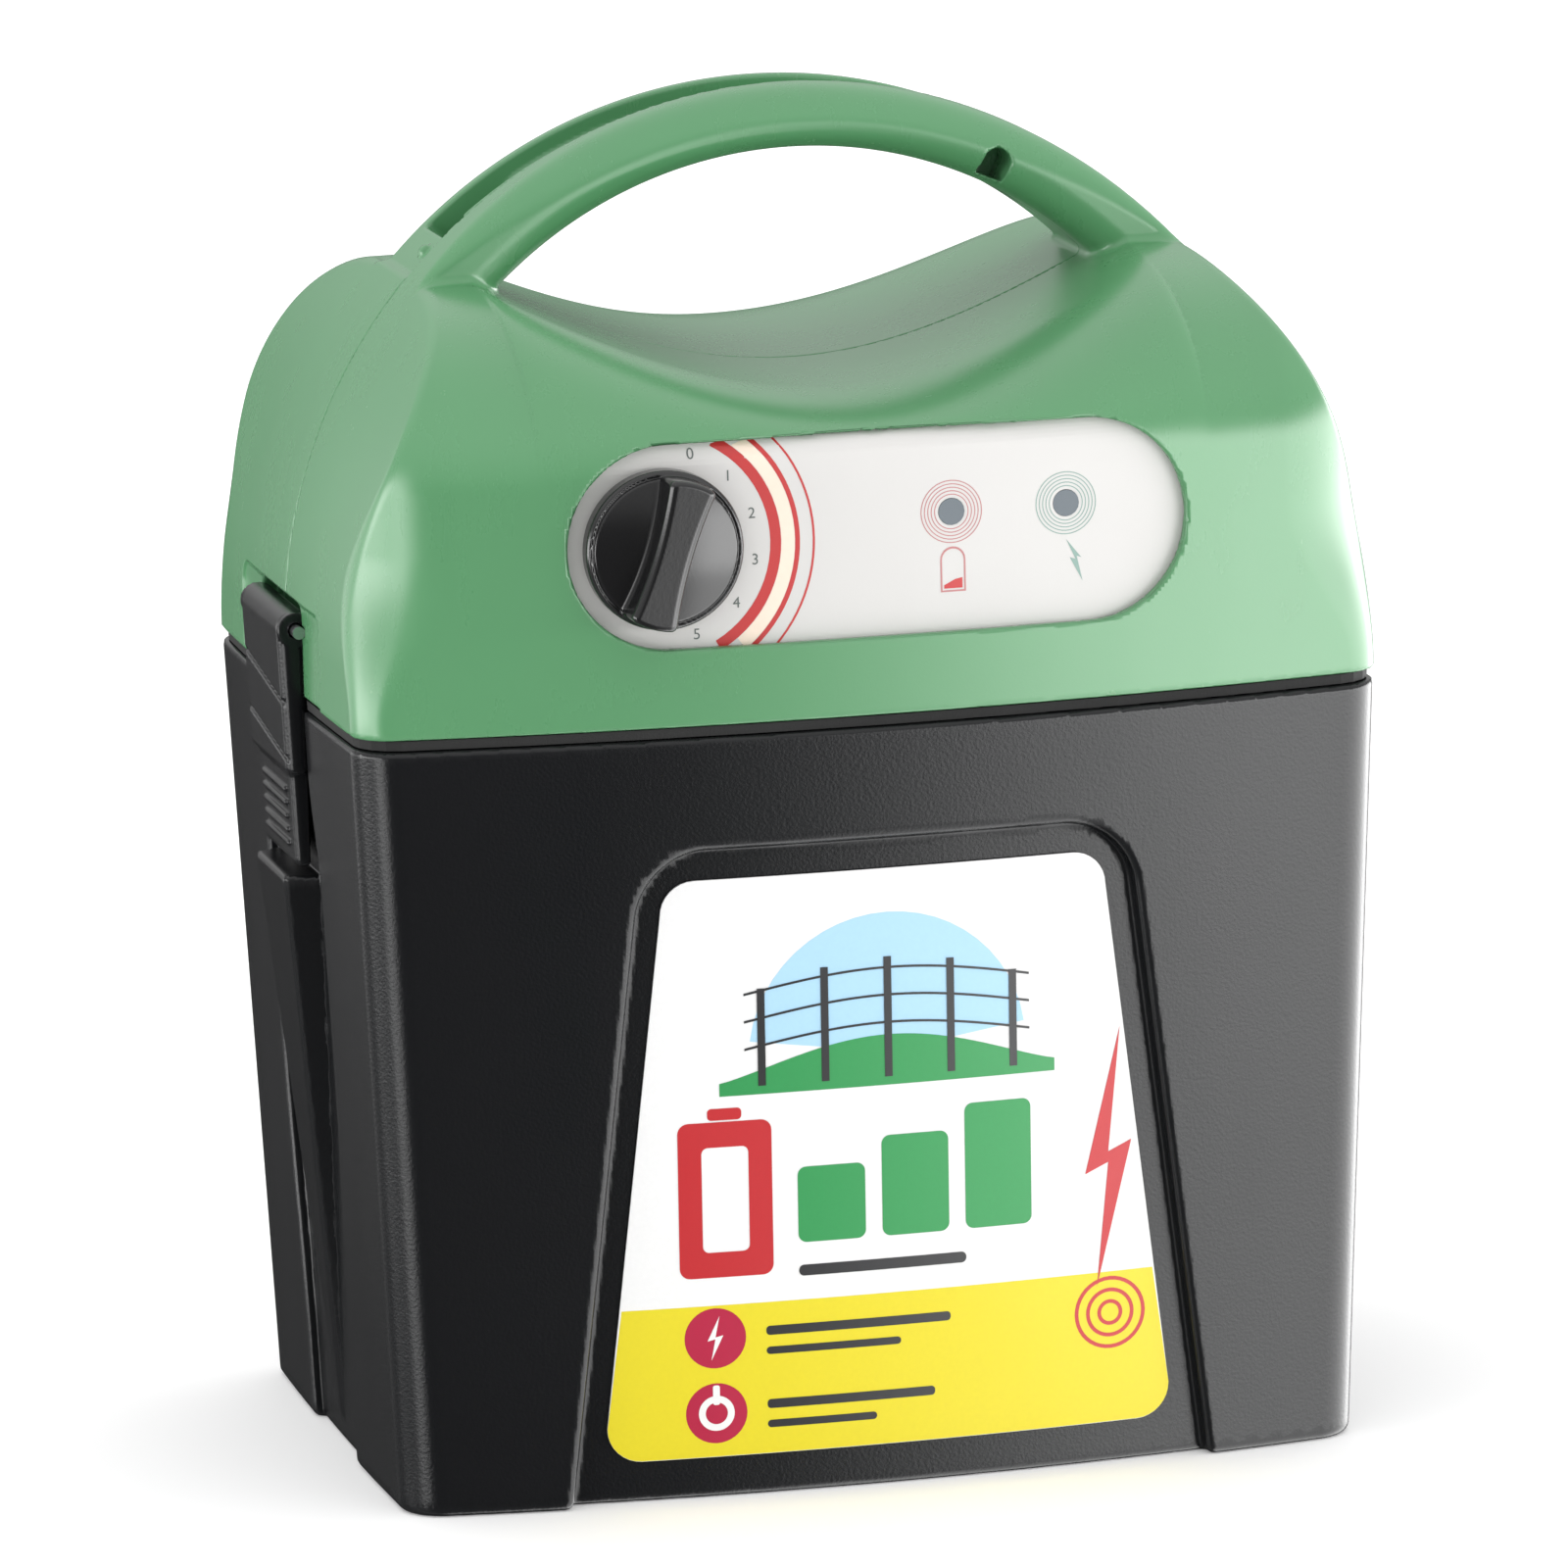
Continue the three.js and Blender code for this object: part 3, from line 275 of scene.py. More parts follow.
def settle(field, points, cell):
    """Points moved onto the surface in three short Newton steps, and their normals."""
    for _ in range(3):
        slope = slopes(field, points, 0.05)
        size = np.maximum((slope**2).sum(1), 0.2)
        move = (field(*points.T) / size)[:, None] * slope
        points -= np.clip(move, -0.3 * cell, 0.3 * cell)
    normals = slopes(field, points, 0.25)
    normals /= np.maximum(np.linalg.norm(normals, axis=1), 1e-9)[:, None]
    return points, normals


def crossings(grid, cells, corners):
    """The mean place, in each cell, of the points where its edges cross the surface."""
    values = [grid[tuple((cells + corner).T)] for corner in corners]
    total = np.zeros(cells.shape)
    hits = np.zeros(len(cells))
    for a, corner in enumerate(corners):
        for axis, stride in enumerate((4, 2, 1)):
            if corner[axis]:
                continue
            first, second = values[a], values[a + stride]
            crossed = (first < 0) != (second < 0)
            t = np.where(crossed, first / np.where(crossed, first - second, 1), 0)
            point = np.array(corner, float) + t[:, None] * np.eye(3)[axis]
            total += crossed[:, None] * point
            hits += crossed
    return total / hits[:, None]


def surface(field, low, high, cell):
    """Vertices, quads and normals of the field's surface, by the surface nets method."""
    low = np.array(low, float)
    cell = np.array(cell) * np.ones(3)
    grid = sample(field, low, high, cell)
    inside = grid < 0
    corners = [(i, j, k) for i in (0, 1) for j in (0, 1) for k in (0, 1)]
    last = np.array(grid.shape) - 1
    count = sum(
        inside[i:last[0] + i, j:last[1] + j, k:last[2] + k].astype(np.uint8)
        for i, j, k in corners
    )
    mixed = (count > 0) & (count < 8)
    cells = np.argwhere(mixed)
    number = np.full(mixed.shape, -1)
    number[mixed] = np.arange(len(cells))
    points = low + (cells + crossings(grid, cells, corners)) * cell
    quads = []
    for axis in range(3):
        u, v = np.eye(3, dtype=int)[(axis + 1) % 3], np.eye(3, dtype=int)[(axis + 2) % 3]
        lower = np.take(inside, range(last[axis]), axis)
        upper = np.take(inside, range(1, last[axis] + 1), axis)
        edges = np.argwhere(lower != upper)
        edges = edges[np.all((edges >= u + v) & (edges < last), axis=1)]
        loop = np.stack(
            [number[tuple((edges - s).T)] for s in (u + v, v, 0 * u, u)], axis=1
        )
        outward = lower[tuple(edges.T)]
        loop[~outward] = loop[~outward][:, ::-1]
        quads.append(loop)
    points, normals = settle(field, points, cell)
    return points, np.concatenate(quads), normals


# ---------- materials ----------


class Nodes:
    """A short way to write a material's nodes."""

    def __init__(self, name):
        self.material = bpy.data.materials.new(name)
        self.material.use_nodes = True
        self.tree = self.material.node_tree
        self.shader = self.tree.nodes["Principled BSDF"]
        self.place = self.add("ShaderNodeTexCoord").outputs["Object"]

    def add(self, kind, inputs=None, **settings):
        node = self.tree.nodes.new(kind)
        for key, value in settings.items():
            setattr(node, key, value)
        for key, value in (inputs or {}).items():
            if isinstance(value, bpy.types.NodeSocket):
                self.tree.links.new(value, node.inputs[key])
            else:
                node.inputs[key].default_value = value
        return node

    def link(self, output, socket):
        self.tree.links.new(output, self.shader.inputs[socket])

    def noise(self, scale, detail=3.0, roughness=0.5, stretch=None):
        place = self.place
        if stretch:
            place = self.add(
                "ShaderNodeMapping", {"Vector": place, "Scale": stretch}
            ).outputs["Vector"]
        inputs = {"Vector": place, "Scale": scale, "Detail": detail, "Roughness": roughness}
        return self.add("ShaderNodeTexNoise", inputs).outputs["Fac"]

    def remap(self, value, low, high, start=0.0, end=1.0):
        inputs = {
            "Value": value, "From Min": start, "From Max": end, "To Min": low, "To Max": high,
        }
        return self.add("ShaderNodeMapRange", inputs).outputs["Result"]

    def mix(self, share, first, second):
        node = self.add("ShaderNodeMix", data_type="RGBA")
        for socket, value in ((0, share), (6, first), (7, second)):
            if isinstance(value, bpy.types.NodeSocket):
                self.tree.links.new(value, node.inputs[socket])
            else:
                node.inputs[socket].default_value = value
        return node.outputs[2]

    def bump(self, height, distance):
        inputs = {"Height": height, "Distance": distance, "Strength": 1.0}
        self.link(self.add("ShaderNodeBump", inputs).outputs["Normal"], "Normal")


def shade(color, factor):
    return tuple(min(c * factor, 1.0) for c in color) + (1.0,)


def moulded(name, color, rough, grain=0.00004, wear=0.15, specular=0.5, coat=0.0):
    """Moulded plastic: fine grain, faint cloudiness, scuffs and lighter worn edges."""
    n = Nodes(name)
    clouds = n.noise(14, 3)
    base = n.mix(clouds, shade(color, 0.93), shade(color, 1.06))
    edge = n.add("ShaderNodeNewGeometry").outputs["Pointiness"]
    worn = n.remap(edge, 0, wear, 0.515, 0.58)
    paler = tuple(0.7 * c + 0.12 for c in color) + (1.0,)
    n.link(n.mix(worn, base, paler), "Base Color")
    scuffs = n.noise(60, 6, 0.65, (1, 1, 0.35))
    smears = n.noise(9, 2)
    marks = n.remap(n.mix(0.5, scuffs, smears), rough - 0.015, rough + 0.02, 0.3, 0.7)
    n.link(marks, "Roughness")
    n.shader.inputs["Specular IOR Level"].default_value = specular
    n.shader.inputs["Coat Weight"].default_value = coat
    n.shader.inputs["Coat Roughness"].default_value = 0.12
    n.bump(n.noise(1400, 2), grain)
    return n.material


def metal(name, color, rough, stretch=(1, 1, 8)):
    n = Nodes(name)
    brushed = n.noise(300, 3, 0.6, stretch)
    n.link(n.mix(brushed, shade(color, 0.8), shade(color, 1.1)), "Base Color")
    n.link(n.remap(n.noise(40, 4), rough - 0.06, rough + 0.12), "Roughness")
    n.shader.inputs["Metallic"].default_value = 1.0
    n.bump(brushed, 0.00003)
    return n.material


def printed(name, color, rough=0.32):
    """Ink on a smooth sheet: almost even, with a fine dot structure."""
    n = Nodes(name)
    dots = n.noise(900, 2)
    n.link(n.mix(dots, shade(color, 0.97), shade(color, 1.03)), "Base Color")
    n.link(n.remap(n.noise(30, 3), rough - 0.04, rough + 0.06), "Roughness")
    n.bump(dots, 0.00001)
    return n.material


def copper_wire(name):
    n = Nodes(name)
    turns_and_shade = n.add(
        "ShaderNodeTexWave", {"Vector": n.place, "Scale": 900}, bands_direction="Z"
    ).outputs["Fac"]
    # Each turn is painted dark in the groove beside it and bright on its crest: painted shade and
    # painted highlight on top of the bump, not a change in the wire's colour.
    n.link(n.mix(turns_and_shade, (0.16, 0.05, 0.015, 1), (0.6, 0.22, 0.08, 1)), "Base Color")
    n.link(n.remap(turns_and_shade, 0.25, 0.4), "Roughness")
    n.shader.inputs["Metallic"].default_value = 0.8
    n.bump(turns_and_shade, 0.0002)
    return n.material


def circuit(name):
    """Green solder mask with paler tracks."""
    n = Nodes(name)
    tracks = n.add(
        "ShaderNodeTexVoronoi", {"Vector": n.place, "Scale": 120}, distance="MANHATTAN"
    ).outputs["Distance"]
    lines = n.remap(tracks, 0, 1, 0.35, 0.4)
    n.link(n.mix(lines, (0.01, 0.12, 0.045, 1), (0.03, 0.26, 0.1, 1)), "Base Color")
    n.link(n.remap(lines, 0.3, 0.45), "Roughness")
    n.bump(lines, 0.00004)
    return n.material


GREEN = (0.088, 0.268, 0.118)
BLACK = (0.008, 0.0085, 0.0095)
MATERIALS = {
    "green_plastic": moulded("green_plastic", GREEN, 0.27, 0.00001, 0.15, 0.6),
    "black_plastic": moulded("black_plastic", BLACK, 0.24, wear=0.08, specular=0.28),
    "gloss_black": moulded("gloss_black", (0.01, 0.01, 0.0105), 0.16, 0.00001, 0.1),
    "white_plastic": moulded("white_plastic", (0.62, 0.61, 0.595), 0.38, 0.00001, 0),
    "black_rubber": moulded("black_rubber", (0.012, 0.012, 0.012), 0.7, 0.00008, 0.1, 0.3),
    "red_plastic": moulded("red_plastic", (0.42, 0.02, 0.025), 0.36),
    "grey_lens": moulded("grey_lens", (0.11, 0.135, 0.155), 0.3, 0.00001, 0, 0.5, 0.3),
    "led_red": moulded("led_red", (0.55, 0.03, 0.02), 0.15, 0.00001, 0),
    "led_green": moulded("led_green", (0.04, 0.38, 0.12), 0.15, 0.00001, 0),
    "battery_case": moulded("battery_case", (0.045, 0.055, 0.065), 0.5),
    "printed_label": printed("printed_label", (0.93, 0.93, 0.93)),
    "steel": metal("steel", (0.62, 0.63, 0.65), 0.3),
    "brass": metal("brass", (0.60, 0.42, 0.14), 0.3),
    "copper": copper_wire("copper"),
    "circuit_green": circuit("circuit_green"),
}
INKS = {
    "white": (0.80, 0.80, 0.80),
    "yellow": (0.72, 0.61, 0.01),
    "red": (0.48, 0.013, 0.018),
    "green": (0.02, 0.27, 0.07),
    "dark": (0.012, 0.012, 0.014),
    "crimson": (0.42, 0.006, 0.045),
    "sky": (0.38, 0.62, 0.80),
    "arc_red": (0.50, 0.035, 0.035),
    "cream": (0.86, 0.72, 0.60),
    "pink": (0.48, 0.20, 0.20),
    "sage": (0.22, 0.34, 0.30),
    "grey": (0.11, 0.13, 0.12),
}
INK_MATERIALS = {name: printed("ink_" + name, color) for name, color in INKS.items()}

# ---------- making pieces ----------


def finish_piece(mesh, name, body, slot, material=None, replaces=()):
    piece = bpy.data.objects.new(name, mesh)
    bpy.context.scene.collection.objects.link(piece)
    mesh.materials.clear()
    mesh.materials.append(material or MATERIALS[slot])
    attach(piece, body)
    if replaces:
        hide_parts(*replaces)
    return piece


def moulding(name, field, low, high, cell, body, slot, replaces, mirror=False):
    """A piece made from a distance field."""
    points, quads, normals = surface(field, low, high, cell)
    if mirror:
        points, normals = points * [-1, 1, 1], normals * [-1, 1, 1]
        quads = quads[:, ::-1]
    mesh = bpy.data.meshes.new(name)
    mesh.from_pydata((points * MM).tolist(), [], quads.tolist())
    mesh.polygons.foreach_set("use_smooth", [True] * len(mesh.polygons))
    mesh.normals_split_custom_set_from_vertices(normals.tolist())
    return finish_piece(mesh, name, body, slot, None, replaces)


# ---------- head ----------


def deck(x):
    """Top of the head at x, the height its curve starts at, and half its level depth."""
    t = np.minimum(np.abs(x) / SADDLE_HALF, 1)
    dip = np.cos(math.pi / 2 * t)
    top = SHOULDER_TOP - SADDLE_DIP * dip
    start = SHOULDER_START + SHOULDER_RISE * dip
    return top, start, HANDLE_HALF + (SADDLE_FLAT - HANDLE_HALF) * np.sqrt(1 - t**4)


def head_face(x, y, z, inset):
    """Front, back and top of the head: upright below, round shoulders, a saddle between them."""
    top, start, half = deck(x)
    deep, high = front_depth(x, inset) - half, top - inset - start
    u = np.maximum(np.abs(y) - half, 0) / deep
    v = np.maximum(z - start, 0) / high
    reach = np.maximum(np.hypot(u, v), 1e-6)
    slope = np.maximum(np.hypot(u / deep, v / high) / reach, 1e-3)
    return (reach - 1) / slope


def head_arch(x, y, z, inset):
    """The round outline that handle and sides share, upright below the arch's centre."""
    out = np.hypot(x, np.maximum(z - ARCH_CENTRE, 0))
    return out - ARCH_RADIUS + inset + BOW_SIDE * (y / TOP_HALF_Y) ** 2


def head_side(x, y, inset):
    return np.abs(x) - ARCH_RADIUS + inset + BOW_SIDE * (y / TOP_HALF_Y) ** 2


def head_corner(x, y, z, inset):
    """The head's front, back and top with its upright corners rounded, more so higher up."""
    growth = smooth(z, CORNER_GROWS_FROM, CORNER_GROWS_TO)
    radius = CORNER_RADIUS_LOW + CORNER_RADIUS_GROWTH * growth
    return both(head_face(x, y, z, inset), head_side(x, y, inset), radius)


def stadium(x, z, half, radius):
    """The panel's outline: a bar with half-round ends."""
    return np.hypot(np.maximum(np.abs(x) - half + radius, 0), z - PANEL_Z) - radius


def head_outside(x, y, z, rear):
    """Head and handle as one solid. The arch trims both, so the handle runs on down the sides."""
    angle = np.degrees(np.arctan2(np.abs(x), z - ARCH_CENTRE))
    body = head_corner(x, y, z, 0)
    under = GRIP_RADIUS - np.hypot(x, z - GRIP_CENTRE)
    bar = both(both(np.abs(y) - HANDLE_HALF, under, GRIP_EDGE), HANDLE_FOOT - z, 1)
    body = either(body, bar, HANDLE_FILLET)
    arch = head_arch(x, y, z, 0)
    edge = ARCH_EDGE * smooth(z, ARCH_EDGE_FROM, ARCH_EDGE_TO)
    if rear:
        arch = arch + REAR_STEP * (1 - smooth(angle, HANDLE_ANGLE - 1, HANDLE_ANGLE + 0.5))
        edge = edge + REAR_EDGE * (angle < HANDLE_ANGLE)
    else:
        edge = edge + FRONT_EDGE * np.clip(1 - (angle / HANDLE_ANGLE) ** 2, 0, 1)
    return both(body, arch, edge)


def channel(body, x, y, z):
    """The long hollow on top of the handle, with its deck, two ribs and a stub at each end."""
    out = np.hypot(x, z - ARCH_CENTRE)
    angle = np.degrees(np.arctan2(np.abs(x), z - ARCH_CENTRE))
    deck_share = 1 - smooth(angle, DECK_SLOPE_FROM, DECK_SLOPE_TO)
    floor = CHANNEL_FLOOR + (CHANNEL_DECK - CHANNEL_FLOOR) * deck_share
    end = np.radians(angle - CHANNEL_ANGLE) * out
    hollow = both(both(y - CHANNEL_BACK, floor - out, 1.2), end, 2)
    body = cut(body, hollow, 0.9)
    for centre in RIB_PLACES:
        rib = both(np.abs(y - centre) - RIB_HALF, out - CHANNEL_DECK - RIB_RISE, 0.6)
        rib = both(rib, np.radians(angle - RIB_ANGLE) * out, 2)
        body = either(body, np.maximum(rib, CHANNEL_FLOOR - WALL - out), 0.5)
    stub = np.sqrt((np.abs(x) - STUB_X) ** 2 + y**2 + (z - STUB_Z) ** 2) - STUB_RADIUS
    return either(body, stub, 0.5)


def screw_bosses(body, outside, x, y, z):
    """Bosses for the screws that join the halves, with bores for their heads and pilot holes."""
    across = np.abs(x)
    for screw_x, screw_z in SHELL_SCREWS:
        boss = rod(across, z, screw_x, screw_z, BOSS_RADIUS)
        body = np.minimum(body, np.maximum(boss, outside))
        head_bore = rod(across, z, screw_x, screw_z, HEAD_BORE_RADIUS)
        body = cut(body, np.maximum(head_bore, SHELL_SCREW_HEAD_Y - y), 0.5)
        pilot = rod(across, z, screw_x, screw_z, PILOT_RADIUS)
        body = np.maximum(body, -np.maximum(pilot, np.abs(y) - PILOT_REACH))
    return body


def tray_bosses(body, outside, x, y, z):
    """A boss in each inner corner for the tray's screws."""
    across, aside = np.abs(x), np.abs(y)
    boss = block(across, aside, z, TRAY_BOSS_LOW, TRAY_BOSS_HIGH)
    body = np.minimum(body, np.maximum(boss, outside))
    pilot = PILOT_RADIUS - np.hypot(across - TRAY_SCREW_X, aside - TRAY_SCREW_Y)
    return np.maximum(body, pilot - np.maximum(z - TRAY_PILOT_TOP, 0))


def latch_pockets(body, x, y, z):
    """The stepped pockets that the latches lie in, and the bores for their pins."""
    across, aside = np.abs(x), np.abs(y)
    width = aside - LATCH_HALF - POCKET_GAP
    upper = both(both(width, z - POCKET_TOP, 4), HINGE_X - POCKET_DEEP - across, 0.5)
    upper = np.maximum(upper, POCKET_STEP - 1 - z)
    lower = both(both(width, z - POCKET_STEP, 1), HINGE_X - POCKET_SHALLOW - across, 0.5)
    body = cut(body, np.minimum(upper, lower), 0.8)
    bore = np.maximum(rod(across, z, HINGE_X, HINGE_Z, PIN_BORE_RADIUS), aside - PIN_BORE_HALF)
    return np.maximum(body, -bore)


def front_openings(body, x, y, z):
    """The control panel's opening and the slot in the handle's front."""
    opening = both(stadium(x, z, PANEL_HALF, PANEL_RADIUS), y - OPENING_BACK, 1)
    body = cut(body, opening, 0.5)
    u = (x - SLOT_X) * math.cos(SLOT_LEAN) - (z - SLOT_Z) * math.sin(SLOT_LEAN)
    v = (x - SLOT_X) * math.sin(SLOT_LEAN) + (z - SLOT_Z) * math.cos(SLOT_LEAN)
    slot = np.maximum(np.hypot(u, np.maximum(v - 0.5, 0)) - SLOT_RADIUS, -v - 3.5)
    return cut(body, slot, 0.4)


def head_shell(x, y, z, rear):
    across = np.abs(x)
    outside = head_outside(x, y, z, rear)
    relief = both(np.abs(y) - RELIEF_HALF, z - RELIEF_TOP, 5)
    relief = both(relief, -head_side(x, y, 0) - RELIEF_DEPTH, 0.3)
    outside = cut(outside, relief, 0.6)
    if rear:
        outside = channel(outside, x, y, z)
    inside = np.maximum(head_corner(x, y, z, WALL), head_arch(x, y, z, WALL))
    body = cut(outside, inside, 0.4)
    pinned = block(
        across, y, z, (HINGE_X - LATCH_BLOCK_DEPTH, -LATCH_BLOCK_HALF, HEAD_BOTTOM),
        (FAR, LATCH_BLOCK_HALF, LATCH_BLOCK_TOP),
    )
    body = np.minimum(body, np.maximum(pinned, outside))
    body = screw_bosses(body, outside, x, y, z)
    body = tray_bosses(body, outside, x, y, z)
    body = latch_pockets(body, x, y, z)
    if rear:
        stud_hole = rod(across, z, STUD_X, STUD_Z, STUD_HOLE_RADIUS)
        body = cut(body, np.maximum(stud_hole, STUD_HOLE_FRONT - y), 0.4)
    else:
        body = front_openings(body, x, y, z)
    return both(body, HEAD_BOTTOM - z, 0.7)


def build_head():
    """The head's two halves, parted by a fine gap at the seam."""
    moulding(
        "head_front",
        lambda x, y, z: both(head_shell(x, y, z, False), y - SEAM + SEAM_GAP, 0.15),
        (-126, -96, 181), (126, SEAM + 3, 323), CELL_HEAD, "head", "green_plastic",
        ["head_front_shell"],
    )
    moulding(
        "head_rear",
        lambda x, y, z: both(head_shell(x, y, z, True), SEAM + SEAM_GAP - y, 0.15),
        (-126, SEAM - 3, 181), (126, 96, 323), CELL_HEAD, "head", "green_plastic",
        ["head_rear_shell"],
    )


# ---------- battery box ----------


def casing(x, y, z, inset):
    """The box's bowed front and back, its sides, and both with round upright corners."""
    share = z / BOX_TOP
    half_x = BASE_HALF_X + (TOP_HALF_X - BASE_HALF_X) * share - inset
    half_y = BASE_HALF_Y + (TOP_HALF_Y - BASE_HALF_Y) * share - inset
    front = np.abs(y) - half_y - BOW_FRONT * (1 - np.minimum((x / half_x) ** 2, 1.3))
    side = np.abs(x) - half_x - BOW_SIDE * (1 - np.minimum((y / half_y) ** 2, 1.3))
    return front, side, both(front, side, max(BOX_CORNER - inset, 3))


def side_x(z):
    """Where the middle of the box's side lies at a height."""
    return BASE_HALF_X + (TOP_HALF_X - BASE_HALF_X) * z / BOX_TOP + BOW_SIDE


def trapezoid(x, z, half_bottom, half_top, bottom, top, corner):
    lean = (half_bottom - half_top) / (top - bottom)
    flank = (np.abs(x) - half_bottom + lean * (z - bottom)) / math.hypot(1, lean)
    return both(flank, z - top, corner)


def rim_tongue(x, y, z):
    """The low wall that the head fits over, left out where the latch blocks sit."""
    tongue = np.maximum(casing(x, y, z, TONGUE_OUT)[2], -casing(x, y, z, TONGUE_IN)[2])
    tongue = both(np.maximum(tongue, TONGUE_BOTTOM - z), z - RIM_TOP, 0.6)
    notch = np.maximum(np.abs(y) - NOTCH_HALF, HEAD_BOTTOM - 0.3 - z)
    return np.maximum(tongue, -np.maximum(notch, 100 - np.abs(x)))


def latch_pad(x, y, z):
    """The wedge on each side that the latch's lower end rests on, thin at its foot."""
    across = np.abs(x)
    share = (z - PAD_BOTTOM) / (PAD_TOP - PAD_BOTTOM)
    out = (side_x(PAD_BOTTOM) + PAD_RISE_BOTTOM) * (1 - share) + (HINGE_X + PAD_RISE_TOP) * share
    root = side_x(z) - SIDE_RECESS
    half = PAD_HALF + PAD_HALF_GROWTH * share
    foot = PAD_FOOT + PAD_FOOT_GROWTH * share
    lean = np.clip((across - root) / (out - root + 0.5), 0, 1)
    flank = np.abs(y) - foot + (foot - half) * lean
    pad = both(both(flank, across - out, 1.1), z - PAD_TOP, 1)
    return np.maximum(np.maximum(pad, root - 1 - across), PAD_BOTTOM - z)


def box_field(x, y, z):
    front, side, skin = casing(x, y, z, 0)
    cavity = np.maximum(casing(x, y, z, WALL)[2], WALL - z)
    outer = both(both(skin, -z, 2.2), z - BOX_TOP, 0.9)
    body = cut(outer, cavity, 0.5)
    outline = trapezoid(
        x, z, RECESS_HALF_BOTTOM, RECESS_HALF_TOP, 0, RECESS_TOP, RECESS_CORNER
    )
    facing = np.maximum(outline, y - RECESS_BACK)
    backing = np.maximum(np.maximum(facing - WALL, -front - RECESS_DEPTH - WALL), outer)
    spread = SIDE_SPREAD * smooth(z, *SPREAD_ABOVE) * smooth(z, *SPREAD_BELOW)
    strip = np.abs(y) - SIDE_HALF - spread
    rib = np.maximum(np.maximum(strip - WALL, -side - SIDE_RECESS - WALL), outer)
    body = np.minimum(np.minimum(body, backing), rib)
    body = np.minimum(body, rim_tongue(x, y, z))
    body = cut(body, both(facing, -front - RECESS_DEPTH, 1.6), 1.9)
    body = cut(body, both(strip, -side - SIDE_RECESS, 0.6), 1.3)
    return np.minimum(body, latch_pad(x, y, z))


# ---------- latches ----------


def latch_field(x, y, z):
    """The right-hand latch. Its inside is upright and its outside leans with the box."""
    inside = side_x(BOX_TOP) - SIDE_RECESS + LATCH_GAP
    out = side_x(z) - SIDE_RECESS + LATCH_GAP
    aside = np.abs(y)
    upper = both(x - out - LATCH_THICK, z - HINGE_Z - 4.1, 4)
    upper = both(upper, inside - x, 0.8)
    upper = both(both(upper, aside - LATCH_HALF, 2.6), LATCH_KNEE - z, 1.2)
    barrel = np.maximum(rod(x, z, HINGE_X, HINGE_Z, BARREL_RADIUS), aside - LATCH_HALF)
    lower = both(x - out - LATCH_THIN, aside - LATCH_HALF + 3, 1.6)
    lower = both(both(lower, LATCH_BOTTOM - z, 1.5), inside - x, 0.8)
    lower = both(lower, z - LATCH_KNEE - 2, 1)
    body = either(np.minimum(upper, barrel), lower, 1.2)
    for i in range(GRIP_RIBS):
        height = LATCH_BOTTOM + 4.7 + GRIP_RIB_PITCH * i
        rib = both(np.abs(z - height) - 0.7, x - out - LATCH_THIN - 0.8, 0.5)
        rib = np.maximum(both(rib, aside - GRIP_RIB_HALF, 0.6), out - x)
        body = either(body, rib, 0.3)
    for height in CREASES:
        crease = np.abs(z - height - CREASE_LEAN * y) - 0.5
        body = cut(body, np.maximum(crease, out + LATCH_THICK - 0.6 - x), 0.4)
    return np.maximum(body, -rod(x, z, HINGE_X, HINGE_Z, PIN_BORE_RADIUS))


# ---------- dial knob and terminals ----------


def knob_field(x, y, z):
    """A domed disc with a ring groove, a waisted grip bar across it and a hub behind it."""
    face = -(float(front_depth(KNOB_X)) - PANEL_INSET)
    u, v = x - KNOB_X, z - PANEL_Z
    out = np.hypot(u, v)
    height = face - y
    dome = KNOB_RIM + KNOB_CROWN * (1 - np.clip(out / KNOB_FACE_RADIUS, 0, 1) ** 2)
    disc = both(both(out - KNOB_RADIUS, height - dome, 1.3), 1.2 - height, 0.5)
    groove = np.maximum(np.abs(out - KNOB_FACE_RADIUS) - 0.3, 6.0 - height)
    disc = cut(disc, groove, 0.3)
    along = u * math.sin(BAR_LEAN) + v * math.cos(BAR_LEAN)
    aside = u * math.cos(BAR_LEAN) - v * math.sin(BAR_LEAN)
    width = BAR_HALF + 1.3 * (along / KNOB_FACE_RADIUS) ** 2 + 0.09 * (BAR_HEIGHT - height)
    bar = both(np.abs(aside) - width, height - BAR_HEIGHT, 1.5)
    bar = both(bar, out - KNOB_FACE_RADIUS - 0.3, 1.2)
    bar = np.maximum(bar, 3 - height)
    body = either(disc, bar, 0.8)
    hub = np.maximum(np.maximum(out - 3.6, height - 3), y + 71.5)
    shaft_hole = np.maximum(out - 2.3, height - 4)
    return np.maximum(np.minimum(body, hub), -shaft_hole)


def terminal_field(x, y, z):
    """The right-hand terminal knob, with lobes around its rim."""
    back = float(front_depth(STUD_X))
    out = np.hypot(x - STUD_X, z - STUD_Z)
    turn = np.arctan2(z - STUD_Z, x - STUD_X)
    rim = TERMINAL_RADIUS + TERMINAL_LOBE * np.cos(TERMINAL_LOBES * turn)
    body = both(0.8 * (out - rim), y - back - TERMINAL_DEPTH, 1.2)
    body = both(body, back + 2.2 - y, 0.6)
    collar = both(out - 5.2, y - back - TERMINAL_DEPTH - 0.8, 0.6)
    body = np.minimum(body, np.maximum(collar, back + 3 - y))
    return np.maximum(body, STUD_HOLE_RADIUS - out)


def build_latches():
    for name, mirror in (("latch_right", False), ("latch_left", True)):
        moulding(
            name + "_arm", latch_field, (110, -24, 140), (131, 24, 208), CELL_LATCH, name,
            "black_plastic", [name], mirror,
        )


